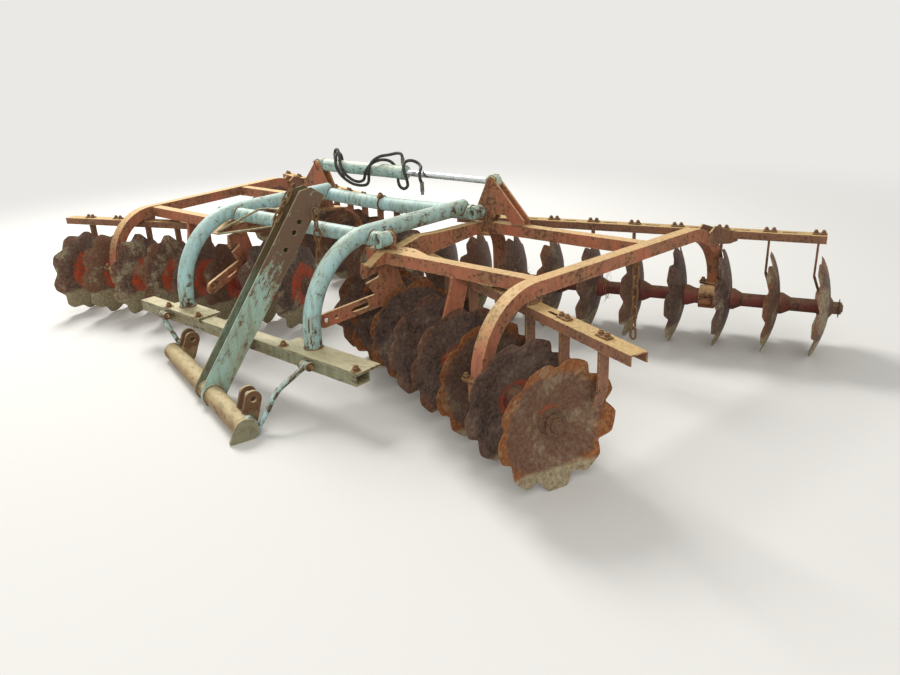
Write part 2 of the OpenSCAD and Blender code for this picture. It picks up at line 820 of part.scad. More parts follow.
module left_rear_hangers() { at_part() side(-1) rear_hangers(); }
module right_rear_hangers() { at_part() side(1) rear_hangers(); }
// Two rear bearings: under the arch's foot and on the curved arm
module rear_hangers() {
  color("#a2462c") {
    difference() {
      union() {
        rear_gang() translate([-rear_arch_at * disc_pitch, 0, 0]) housing();
        foot_block(arch_rear_leg);
      }
      rear_gang() journal_cut(rear_arch_at);
    }
    rear_gang() translate([-rear_arm_at * disc_pitch, 0, 0]) {
      housing();
      curved_arm();
    }
  }
}

// Curved arm from the rear beam's underside round to the housing
module curved_arm() {
  under = beam_z - beam_w / 2 - seat - hub_z;
  r = 170;
  w = 14;
  y = -215;
  difference() {
    union() {
      translate([-40, y + 20, under - r]) rotate([90, 0, 90])
        bent_strap(r, w, 80);
      translate([-40, y - 70, under - w]) cube([80, 90 + 1, w]);
      translate([-40, y + 20 + r - w, 40]) cube([80, w, under - r - 40 + 1]);
    }
    rotate([0, 90, 0]) cylinder(r = journal_r + fit, h = 4 * housing_l, center = true);
  }
}

// Quarter of a flat strap bent to radius r
module bent_strap(r, w, l) {
  linear_extrude(l) intersection() {
    difference() {
      circle(r = r, $fn = 96);
      circle(r = r - w, $fn = 96);
    }
    square(r + 1);
  }
}

// Inverted channel bar from x_in to x_out, slotted between its n scraper posts
module scraper_bar(x_in, x_out, y, z, n) {
  w = scraper_bar_w;
  h = scraper_bar_h;
  slot_l = 60;
  difference() {
    translate([x_in, y - w / 2, z - hub_z - h / 2]) cube([x_out - x_in, w, h]);
    translate([x_in - 1, y - w / 2 + beam_wall, z - hub_z - h / 2 - 1])
      cube([x_out - x_in + 2, w - 2 * beam_wall, h + 1 - beam_wall]);
    for (i = [1 : n - 1])
      translate([-i * disc_pitch + slot_l / 4, y, z - hub_z]) linear_extrude(h)
        strap2d([-slot_l / 2, 0], [slot_l / 2, 0], 8);
  }
}

module left_front_scrapers() { at_part() side(-1) front_scrapers(); }
module right_front_scrapers() { at_part() side(1) front_scrapers(); }
module front_scrapers() {
  color("#b06a3f") front_gang() {
    scraper_bar(-front_scraper_in, front_scraper_out, front_scraper_y, front_scraper_z, front_discs - 2);
    for (i = [0 : front_discs - 3])
      translate([-i * disc_pitch, 0, 0]) scraper_post(1, front_scraper_y, front_scraper_z);
  }
  color("#b06a3f") front_saddle();
}

// Packing block between the front bar and the arch that passes over it
module front_saddle() {
  low = front_scraper_z + scraper_bar_h / 2 - 1;
  difference() {
    arch_frame() translate([-arch_w / 2, 178 - 40, low]) cube([arch_w, 80, 80]);
    arch_bends(arch_bend_r - arch_w / 2 - seat);
  }
}

// Everything outside radius r of the arch's bends and straight run
module arch_bends(r) {
  y_front = arch_front_leg + arch_bend_r;
  y_rear = arch_rear_leg - arch_bend_r;
  arch_frame() difference() {
    translate([-200, y_front - arch_bend_r, arch_z - arch_bend_r]) cube([400, y_rear - y_front + 2 * arch_bend_r, 500]);
    for (y = [y_front, y_rear])
      translate([0, y, arch_z - arch_bend_r]) rotate([0, 90, 0]) cylinder(r = r, h = 500, center = true, $fn = 96);
    translate([-250, y_front, arch_z - arch_bend_r - 1]) cube([500, y_rear - y_front, r + 1]);
  }
}

module left_rear_scrapers() { at_part() side(-1) rear_scrapers(); }
module right_rear_scrapers() { at_part() side(1) rear_scrapers(); }
module rear_scrapers() {
  color("#b06a3f") rear_gang() {
    scraper_bar(-rear_scraper_in, rear_scraper_out, rear_scraper_y, rear_scraper_z, rear_discs - 1);
    for (i = [0 : rear_discs - 2])
      translate([-i * disc_pitch, 0, 0]) scraper_post(-1, rear_scraper_y, rear_scraper_z);
  }
  color("#b06a3f") rear_clamp();
}

// Two cheeks that hold the rear bar to the sides of the arch's rear bend
module rear_clamp() {
  t = 9;
  arch_frame() for (x = [-arch_w / 2 - seat - t, arch_w / 2 + seat])
    sideways(x, t)
      polygon([[1440, 555], [1440, 612], [1490, 640], [1640, 590], [1718, 575], [1718, 520], [1640, 520]]);
}

// Flat post from the bar down past the rim, then a blade slanting in towards the hub
module scraper_post(open, y, z) {
  top = z - hub_z + scraper_bar_h / 2 - 1;
  knee = 110;
  tip = 34;
  in = 46;
  mirror([open < 0 ? 1 : 0, 0, 0])
    translate([0, y - scraper_w / 2 + scraper_w, 0]) rotate([90, 0, 0])
      linear_extrude(scraper_w)
        polygon([
          [scraper_off - scraper_t / 2, top], [scraper_off + scraper_t / 2, top],
          [scraper_off + scraper_t / 2, knee], [in + scraper_t, tip], [in, tip], [scraper_off - scraper_t / 2, knee]
        ]);
}

module left_front_discs() { at_part() side(-1) front_disc_set(); }
module right_front_discs() { at_part() side(1) front_disc_set(); }
module front_disc_set() { color("#6a5343") front_gang() disc_row(front_discs, 1); }

module left_rear_discs() { at_part() side(-1) rear_disc_set(); }
module right_rear_discs() { at_part() side(1) rear_disc_set(); }
module rear_disc_set() { color("#6a5343") rear_gang() disc_row(rear_discs, -1); }

module left_front_spools() { at_part() side(-1) front_spool_set(); }
module right_front_spools() { at_part() side(1) front_spool_set(); }
module front_spool_set() {
  color("#8e2f24") front_gang() spool_row(front_discs, [front_arch_at, front_post_at, front_plate_at]);
}

module left_rear_spools() { at_part() side(-1) rear_spool_set(); }
module right_rear_spools() { at_part() side(1) rear_spool_set(); }
module rear_spool_set() {
  color("#8e2f24") rear_gang() spool_row(rear_discs, [rear_arch_at, rear_arm_at]);
}

module left_front_shaft() { at_part() side(-1) front_shaft(); }
module right_front_shaft() { at_part() side(1) front_shaft(); }
module front_shaft() { color("#5d4a40") front_gang() shaft(front_discs); }

module left_rear_shaft() { at_part() side(-1) rear_shaft(); }
module right_rear_shaft() { at_part() side(1) rear_shaft(); }
module rear_shaft() { color("#5d4a40") rear_gang() shaft(rear_discs); }

// One chain link, long way along Z
module link(r, l, w) {
  bend = w / 2 - r;
  run = l / 2 - r - bend;
  for (m = [-1, 1]) {
    translate([m * bend, 0, -run]) cylinder(r = r, h = 2 * run, $fn = 24);
    translate([0, 0, m * run]) rotate([90, 0, 0]) rotate([0, 0, m < 0 ? 180 : 0])
      rotate_extrude(angle = 180, $fn = 24) translate([bend, 0]) circle(r = r, $fn = 24);
  }
}

// n links hanging down from the origin, each turned a quarter from the last
module chain(n) {
  pitch = chain_l - 4 * chain_r - fit;
  for (i = [0 : n - 1])
    translate([0, 0, -chain_l / 2 - i * pitch]) rotate([0, 0, 90 * (i % 2)])
      link(chain_r, chain_l, chain_w);
}

// Loose end of the chain that ties the mast, hanging on the bolt in its right flange
module mast_chain() {
  bolt = mast_side(chain_bolt[0], chain_bolt[1]);
  color("#7a5a41") at_part() head_frame()
    translate([mast_x + mast_w / 2 + chain_off, bolt[0], bolt[1] + chain_bolt_r + fit + 2 * chain_r])
      rotate([0, 0, 90]) chain(5);
}

// Chain hanging from a lug under the right arch
module arch_chain() {
  y = 890;
  lug_top = arch_z - arch_w / 2 - seat;
  hole_z = lug_top - 26;
  hole_r = chain_r + 3;
  color("#7a5a41") at_part() arch_frame() {
    sideways(-4, 8) difference() {
      union() {
        translate([y, hole_z]) circle(r = 16);
        translate([y - 16, hole_z]) square([32, lug_top - hole_z]);
      }
      translate([y, hole_z]) circle(r = hole_r);
    }
    translate([0, y, hole_z - hole_r + 2 * chain_r + fit]) chain(7);
  }
}

// Frame of the cylinder: local origin on its line, midway between the bracket plates
module ram_frame() {
  translate([0, rear_ear_y + ear_t + lug_play + lug_t / 2, apex_z]) children();
}

// Eye at one end of the cylinder, its neck running to +X
module ram_eye(neck) {
  rotate([90, 0, 0]) cylinder(r = ram_eye_r, h = lug_t, center = true);
  translate([0, -lug_t / 2, -lug_t / 2]) cube([neck, lug_t, lug_t]);
}

// Barrel with its eye, gland collar and the two ports that the hoses screw into
module ram_barrel() {
  base = 62;
  l = apex_x + gland_x - base;
  bore = barrel_d / 2 - barrel_wall;
  collar_l = 34;
  color("#c9d2bd") at_part() ram_frame() {
    difference() {
      union() {
        translate([-apex_x, 0, 0]) ram_eye(base + 1);
        translate([base - apex_x, 0, 0]) rotate([0, 90, 0]) cylinder(r = barrel_d / 2, h = l);
        translate([gland_x - collar_l, 0, 0]) rotate([0, 90, 0]) cylinder(r = barrel_d / 2 + 4, h = collar_l);
        for (x = port_x) translate([x, 0, bore + 3]) cylinder(r = port_r, h = port_top - bore - 3);
      }
      translate([base - apex_x, 0, 0]) rotate([0, 90, 0]) {
        translate([0, 0, 14]) cylinder(r = bore, h = l - 44);
        cylinder(r = rod_d / 2 + fit, h = l + 1);
      }
      translate([-apex_x, 0, 0]) rotate([90, 0, 0]) cylinder(r = ram_pin_r + fit, h = 2 * lug_t, center = true);
    }
  }
}

// Rod with its piston, its eye and the middle of the pin that it turns on
module ram_rod() {
  piston_l = 40;
  piston_x = gland_x - 30 - piston_l - 2;
  bore = barrel_d / 2 - barrel_wall;
  neck = 46;
  color("#c8ccd0") at_part() ram_frame() {
    translate([piston_x, 0, 0]) rotate([0, 90, 0]) cylinder(r = bore - fit, h = piston_l);
    translate([piston_x, 0, 0]) rotate([0, 90, 0]) cylinder(r = rod_d / 2, h = apex_x - piston_x - neck + 1);
    translate([apex_x, 0, 0]) mirror([1, 0, 0]) ram_eye(neck);
    translate([apex_x, 0, 0]) rotate([90, 0, 0])
      cylinder(r = ram_pin_r, h = lug_t + 2 * lug_play - 2 * fit, center = true);
  }
}

function unit(v) = v / norm(v);
function heading(p, i) = unit(p[min(i + 1, len(p) - 1)] - p[max(i - 1, 0)]);

// A direction square to the line at each of its points, carried along without a twist
function carried(p, side, i = 0) =
  let (t = heading(p, i), n = unit(side - (side * t) * t))
    i == len(p) - 1 ? [n] : concat([n], carried(p, n, i + 1));

// A round hose of radius r along the line p
module hose(p, r) {
  n = carried(p, [0, 1, 0]);
  last = (len(p) - 1) * hose_sides;
  polyhedron(
    points = [
      for (i = [0 : len(p) - 1], k = [0 : hose_sides - 1])
        let (a = 360 * k / hose_sides) p[i] + r * (cos(a) * n[i] + sin(a) * cross(heading(p, i), n[i]))
    ],
    faces = concat(
      [[for (k = [0 : hose_sides - 1]) k]],
      [for (i = [0 : hose_sides : last - 1], k = [0 : hose_sides - 1])
        [i + k, i + hose_sides + k, i + hose_sides + (k + 1) % hose_sides]],
      [for (i = [0 : hose_sides : last - 1], k = [0 : hose_sides - 1])
        [i + k, i + hose_sides + (k + 1) % hose_sides, i + (k + 1) % hose_sides]],
      [[for (k = [hose_sides - 1 : -1 : 0]) last + k]]
    )
  );
}

module ram_hoses() {
  color("#26282a") at_part() ram_frame() {
    hose(base_hose, hose_r);
    hose(gland_hose, hose_r);
  }
}

// Coupler hanging from the free end of each hose
module hose_couplers() {
  color("#8b8f90") at_part() ram_frame()
    for (p = [base_hose, gland_hose])
      translate(p[len(p) - 1]) mirror([0, 0, 1]) {
        cylinder(r = coupler_r, h = 26, $fn = 6);
        cylinder(r = hose_r, h = 42);
      }
}

left_main_tube();
right_main_tube();
front_cross_tube();
rear_cross_tube();
lower_cross_bar();
drag_links();
headstock_tube();
mast();
mast_chain();
arch_chain();
left_arch();
left_front_beam();
left_rear_beam();
left_inner_beam();
left_ram_bracket();
left_front_hangers();
left_rear_hangers();
left_front_scrapers();
left_rear_scrapers();
right_arch();
right_front_beam();
right_rear_beam();
right_inner_beam();
right_ram_bracket();
right_front_hangers();
right_rear_hangers();
right_front_scrapers();
right_rear_scrapers();
left_front_discs();
left_front_spools();
left_front_shaft();
right_front_discs();
right_front_spools();
right_front_shaft();
left_rear_discs();
left_rear_spools();
left_rear_shaft();
right_rear_discs();
right_rear_spools();
right_rear_shaft();
ram_barrel();
ram_rod();
ram_hoses();
hose_couplers();
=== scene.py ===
"""Dresses a mounted folding disc harrow: its finishes, fasteners, welds, hoses and dirt.

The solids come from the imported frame. Lengths are metres, +X runs to the near wing,
+Y to the rear and +Z up, as in the frame.
"""

from __future__ import annotations

import json
import logging
import math
import random
from contextlib import contextmanager
from dataclasses import dataclass, field
from enum import Enum
from functools import partial
from typing import Callable, Iterable, Iterator, Sequence

import bmesh
import bpy
from mathutils import Matrix, Vector

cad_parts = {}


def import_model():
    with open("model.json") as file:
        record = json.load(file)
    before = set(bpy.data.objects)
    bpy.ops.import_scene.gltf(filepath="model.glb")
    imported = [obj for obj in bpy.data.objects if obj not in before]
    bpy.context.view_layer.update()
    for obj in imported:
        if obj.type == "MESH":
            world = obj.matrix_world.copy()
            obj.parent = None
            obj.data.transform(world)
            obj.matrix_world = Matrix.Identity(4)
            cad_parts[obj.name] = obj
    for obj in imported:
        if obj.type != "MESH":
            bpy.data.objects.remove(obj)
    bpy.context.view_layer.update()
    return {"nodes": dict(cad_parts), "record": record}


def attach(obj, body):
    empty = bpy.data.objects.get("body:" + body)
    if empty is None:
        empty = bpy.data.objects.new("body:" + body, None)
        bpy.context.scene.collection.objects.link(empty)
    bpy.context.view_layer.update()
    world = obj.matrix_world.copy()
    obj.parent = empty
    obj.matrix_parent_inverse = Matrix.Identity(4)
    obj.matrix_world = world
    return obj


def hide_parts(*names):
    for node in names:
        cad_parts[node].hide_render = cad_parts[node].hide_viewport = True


LOG = logging.getLogger("harrow")
MID_Y = 0.7231398
HUB_Z = 0.255
DISC_PITCH = 0.228
HINGE = (0.633, 0.700)

Colour = tuple[float, float, float, float]
Point = tuple[float, float, float]
Made = dict[str, bpy.types.Material]
Adder = Callable[..., bpy.types.Node]


class Side(Enum):
    """The two wings, by the sign of their X."""

    LEFT = -1
    RIGHT = 1

    @property
    def word(self) -> str:
        """The side's name as the bodies and nodes spell it."""
        return self.name.lower()


class Row(Enum):
    """The two rows of gangs."""

    FRONT = "front"
    REAR = "rear"


GANG_TURN = {Row.FRONT: math.radians(21.0), Row.REAR: math.radians(-15.7)}
GANG_HUB = {Row.FRONT: (1.784, 0.0), Row.REAR: (2.223, 1.789)}
GANG_DISCS = {Row.FRONT: 8, Row.REAR: 10}
GANGS = [(side, row, f"{side.word}_{row.value}") for side in Side for row in Row]
ARCH_FOOT = (1.465, 0.120)
ARCH_SPLAY = math.radians(7.86)


# Places


def cal(x: float, y: float, z: float) -> Point:
    """A point whose y is measured from the front outer hubs."""
    return (x, y - MID_Y, z)


def moved(*point: float) -> Matrix:
    """The matrix that moves a piece by a distance."""
    return Matrix.Translation(point)


def turned(angle: float, axis: str) -> Matrix:
    """The matrix that turns a piece about an axis."""
    return Matrix.Rotation(angle, 4, axis)


def flipped(side: Side) -> Matrix:
    """The matrix that mirrors the near wing's pieces to a side."""
    return Matrix.Diagonal((side.value, 1, 1, 1))


def gang_matrix(side: Side, row: Row) -> Matrix:
    """Frame of one gang: local +X runs outwards along the shaft from the outer disc."""
    x, y = GANG_HUB[row]
    return flipped(side) @ moved(*cal(x, y, HUB_Z)) @ turned(-GANG_TURN[row], "Z")


def arch_matrix(side: Side) -> Matrix:
    """Frame of an arch: local +Y runs back along it."""
    return flipped(side) @ moved(*cal(*ARCH_FOOT, 0)) @ turned(-ARCH_SPLAY, "Z")


def head_matrix() -> Matrix:
    """Frame of the headstock: local +X runs to its right end, +Z up from the tube's axis."""
    return moved(*cal(0.033, -0.340, 0.047)) @ turned(-math.radians(15.5), "Z")


def mast_matrix() -> Matrix:
    """Frame of the leaning mast: local +Z runs up it, +Y is its back."""
    return head_matrix() @ moved(0.080, 0, 0) @ turned(-math.radians(35), "X")


DOWN = turned(math.pi, "X")
BACK = turned(-math.pi / 2, "X")
AHEAD = turned(math.pi / 2, "X")
OUT = turned(math.pi / 2, "Y")
IN = turned(-math.pi / 2, "Y")


# Finishes


def linear(hex_colour: str) -> Colour:
    """Turns an sRGB hex value to a linear colour.

    Args:
        hex_colour: six hex digits after a hash.

    Returns:
        The colour as linear red, green, blue and full alpha.
    """
    parts = [int(hex_colour[i:i + 2], 16) / 255 for i in (1, 3, 5)]
    lin = [c / 12.92 if c <= 0.04045 else ((c + 0.055) / 1.055) ** 2.4 for c in parts]
    return (lin[0], lin[1], lin[2], 1.0)


def per_mm(millimetres: float) -> float:
    """Noise scale that gives features of about this size, for coordinates in metres."""
    return 1000.0 / millimetres


def add_node(
    tree: bpy.types.NodeTree, kind: str, inputs: dict[str | int, object] | None = None, **settings: object,
) -> bpy.types.Node:
    """Adds one shader node, sets it and links it.

    Args:
        tree: the material's node tree.
        kind: the node's type, less the word that they all start with.
        inputs: values for its sockets; a socket or a node becomes a link, and a hex value
            becomes its linear colour.
        settings: attributes to set on the node.

    Returns:
        The new node.
    """
    node = tree.nodes.new("ShaderNode" + kind)
    for name, value in settings.items():
        setattr(node, name, value)
    for socket, value in (inputs or {}).items():
        if isinstance(value, str):
            value = linear(value)
        if isinstance(value, bpy.types.Node):
            value = next(output for output in value.outputs if output.enabled)
        if isinstance(value, bpy.types.NodeSocket):
            tree.links.new(value, node.inputs[socket])
        else:
            node.inputs[socket].default_value = value
    return node


def blank(owner: bpy.types.Material | bpy.types.World) -> Adder:
    """Empties the node tree of a new material or world.

    Args:
        owner: the material or world.

    Returns:
        The function that adds a node to its tree.
    """
    owner.use_nodes = True
    owner.node_tree.nodes.clear()
    return partial(add_node, owner.node_tree)


@dataclass(frozen=True)
class WeatheredEnamel:
    """Sprayed enamel on hot-rolled steel, decades old.

    The eye sees a chalky coat drawn thin along the member, small dark chips and specks
    with an orange stain round them, dirt that has run down the sides, edges worn to
    rust, a pale painted highlight along the edges, and on what faces up settled dust
    with painted sunlight. Some pieces have grime laid towards one end or side; on the
    mast that darker side is painted shade.
    """

    name: str
    paint: str
    paint_faded: str
    rust: str = "#7a4e33"
    rust_dark: str = "#3d302a"
    # the dust colour, which also paints the sunlit tops and the edge highlight
    dust: str = "#b9a582"
    runs: str = "#6d5a40"
    chip_mm: float = 20.0
    patch_mm: float = 190.0
    grit_mm: float = 5.0
    run_mm: float = 26.0
    bare: float = 0.20
    specks: float = 0.5
    run_share: float = 0.25
    edge_mm: float = 5.0
    # share of the upward faces in the dust colour: settled dust, and painted sunlight on the tops
    dust_cover: float = 0.45
    gloss: float = 0.50
    relief_mm: float = 0.8
    drawn_out: Point = (1.0, 1.0, 1.0)
    along: Point = (0.0, 0.0, 0.0)
    worse: tuple[Point, Point, float] | None = None
    # share of the dust colour painted along unchipped edges as a highlight
    pale_edge: float = 0.0
    # a colour laid from one point towards another: grime on the headstock's end, painted shade on the mast's
    # left side
    grimy: tuple[Point, Point, str, float] | None = None

    def build(self) -> bpy.types.Material:
        """Returns the finished material."""
        mat = bpy.data.materials.new(self.name)
        add = blank(mat)
        coord = add("TexCoord")
        place = coord.outputs["Object"]
        drawn = add("Mapping", {"Vector": place, "Rotation": self.along, "Scale": self.drawn_out},
                    vector_type="TEXTURE")
        tall = add("Mapping", {"Vector": place, "Scale": (1.0, 1.0, 0.10)})
        tone, chip, speck, grit, run = (
            add("TexNoise", {"Vector": over, "Scale": per_mm(size), "Detail": detail, "Roughness": rough})
            for over, size, detail, rough in (
                (drawn, self.patch_mm, 5.0, 0.6), (drawn, self.chip_mm, 8.0, 0.62),
                (drawn, self.chip_mm * 0.42, 3.0, 0.6), (place, self.grit_mm, 4.0, 0.7),
                (tall, self.run_mm, 5.0, 0.65)))
        facing = add("SeparateXYZ", {0: coord.outputs["Normal"]})
        lying = add("MapRange", {"Value": facing.outputs["Z"], "From Min": 0.30, "From Max": 0.92})

        faded = add("MapRange", {"Value": tone, "From Min": 0.38, "From Max": 0.62})
        coat = add("Mix", {0: faded, 6: self.paint, 7: self.paint_faded}, data_type="RGBA")
        run_mask = add("MapRange", {"Value": run, "From Min": 0.47, "From Max": 0.68,
                                    "To Max": self.run_share})
        upright = add("Math", {0: 1.0, 1: lying}, operation="SUBTRACT")
        washed = add("Math", {0: run_mask, 1: upright}, operation="MULTIPLY")
        streaked = add("Mix", {0: washed, 6: coat, 7: self.runs}, data_type="RGBA")

        rounded = add("Bevel", {"Radius": self.edge_mm / 1000}, samples=4)
        geometry = add("NewGeometry")
        same = add("VectorMath", {0: rounded, 1: geometry.outputs["Normal"]}, operation="DOT_PRODUCT")
        edge = add("MapRange", {"Value": same, "From Min": 1.0, "From Max": 0.86, "To Max": 0.16})
        worn = add("Math", {0: chip, 1: edge}, operation="ADD")
        if self.worse:
            worn = add("Math", {0: worn, 1: self.towards(add, place, *self.worse)}, operation="ADD")
        wear = add("Math", {0: tone, 1: 0.55, 2: worn}, operation="MULTIPLY_ADD")
        start = 1.02 - 0.62 * self.bare
        stain = add("MapRange", {"Value": wear, "From Min": start - 0.13, "From Max": start + 0.01,
                                 "To Max": 0.50})
        flaked = add("MapRange", {"Value": wear, "From Min": start - 0.010, "From Max": start + 0.016})
        dots = add("Math", {0: wear, 1: 0.45, 2: speck}, operation="MULTIPLY_ADD")
        first = 1.045 - 0.07 * self.specks
        dotted = add("MapRange", {"Value": dots, "From Min": first, "From Max": first + 0.020, "To Max": 0.9})
        bare = add("Math", {0: flaked, 1: dotted}, operation="MAXIMUM")
        stained = add("Mix", {0: stain, 6: streaked, 7: self.rust}, data_type="RGBA")
        gritty = add("MapRange", {"Value": grit, "From Min": 0.40, "From Max": 0.62})
        scale = add("Mix", {0: gritty, 6: self.rust_dark, 7: self.rust}, data_type="RGBA")
        metal = add("Mix", {0: bare, 6: stained, 7: scale}, data_type="RGBA")
        # Grime towards one end; on the mast this is painted shade down its left side.
        if self.grimy:
            metal = self.grimed(add, place, chip, metal)

        # Upward faces take the dust colour: settled dust, and painted sunlight on the tops.
        film = add("Math", {0: chip, 1: 0.6, 2: grit}, operation="MULTIPLY_ADD")
        cover = add("MapRange", {"Value": film, "From Min": 0.64, "From Max": 0.94, "To Min": self.dust_cover,
                                 "To Max": self.dust_cover * 0.45})
        top_dust_and_light = add("Math", {0: lying, 1: cover}, operation="MULTIPLY")
        # Painted highlight: the dust colour along edges where the paint has not chipped.
        edge_highlight_mask = add("MapRange", {"Value": same, "From Min": 0.99, "From Max": 0.88,
                                  "To Max": self.pale_edge})
        spared = add("MapRange", {"Value": chip, "From Min": 0.62, "From Max": 0.44})
        unchipped_edge_highlight = add("Math", {0: edge_highlight_mask, 1: spared}, operation="MULTIPLY")
        dust_and_highlight = add("Math", {0: top_dust_and_light, 1: unchipped_edge_highlight}, operation="MAXIMUM")
        colour = add("Mix", {0: dust_and_highlight, 6: metal, 7: self.dust}, data_type="RGBA")
        rough = add("MapRange", {"Value": bare, "To Min": self.gloss, "To Max": 0.88})
        grain = add("Math", {0: grit, 1: 0.7}, operation="MULTIPLY")
        height = add("Math", {0: bare, 1: -0.5, 2: grain}, operation="MULTIPLY_ADD")
        bump = add("Bump", {"Strength": 0.7, "Distance": self.relief_mm / 1000, "Height": height})
        shader = add("BsdfPrincipled", {"Base Color": colour, "Roughness": rough, "IOR": 1.5,
                                        "Specular IOR Level": 0.35, "Normal": bump})
        add("OutputMaterial", {"Surface": shader})
        return mat

    def towards(
        self, add: Adder, place: bpy.types.NodeSocket, start: Point, end: Point, most: float,
    ) -> bpy.types.Node:
        """A share that grows from nothing at one point to its most at another.

        Args:
            add: adds a node to the material.
            place: the surface's place.
            start: where it is nothing.
            end: where it is most.
            most: its value there.

        Returns:
            The node that gives the share.
        """
        way = (Vector(end) - Vector(start)).normalized()
        far = add("VectorMath", {0: place, 1: way}, operation="DOT_PRODUCT")
        return add("MapRange", {"Value": far, "From Min": Vector(start).dot(way),
                                "From Max": Vector(end).dot(way), "To Max": most})

    def grimed(
        self, add: Adder, place: bpy.types.NodeSocket, chip: bpy.types.Node, under: bpy.types.Node,
    ) -> bpy.types.Node:
        """Lays a darker colour on one end or side of the piece: grime on the headstock's end plate, painted
        shade down the mast's left side.

        Args:
            add: adds a node to the material.
            place: the surface's place.
            chip: the noise that breaks the darker colour up.
            under: the colour below.

        Returns:
            The node that mixes them.
        """
        clean, dark_end, colour, share = self.grimy
        broken = add("MapRange", {"Value": chip, "From Min": 0.36, "From Max": 0.60, "To Min": 1.0,
                                  "To Max": 0.62})
        grown = self.towards(add, place, clean, dark_end, share)
        kept = add("Math", {0: grown, 1: broken}, operation="MULTIPLY")
        return add("Mix", {0: kept, 6: under, 7: colour}, data_type="RGBA")


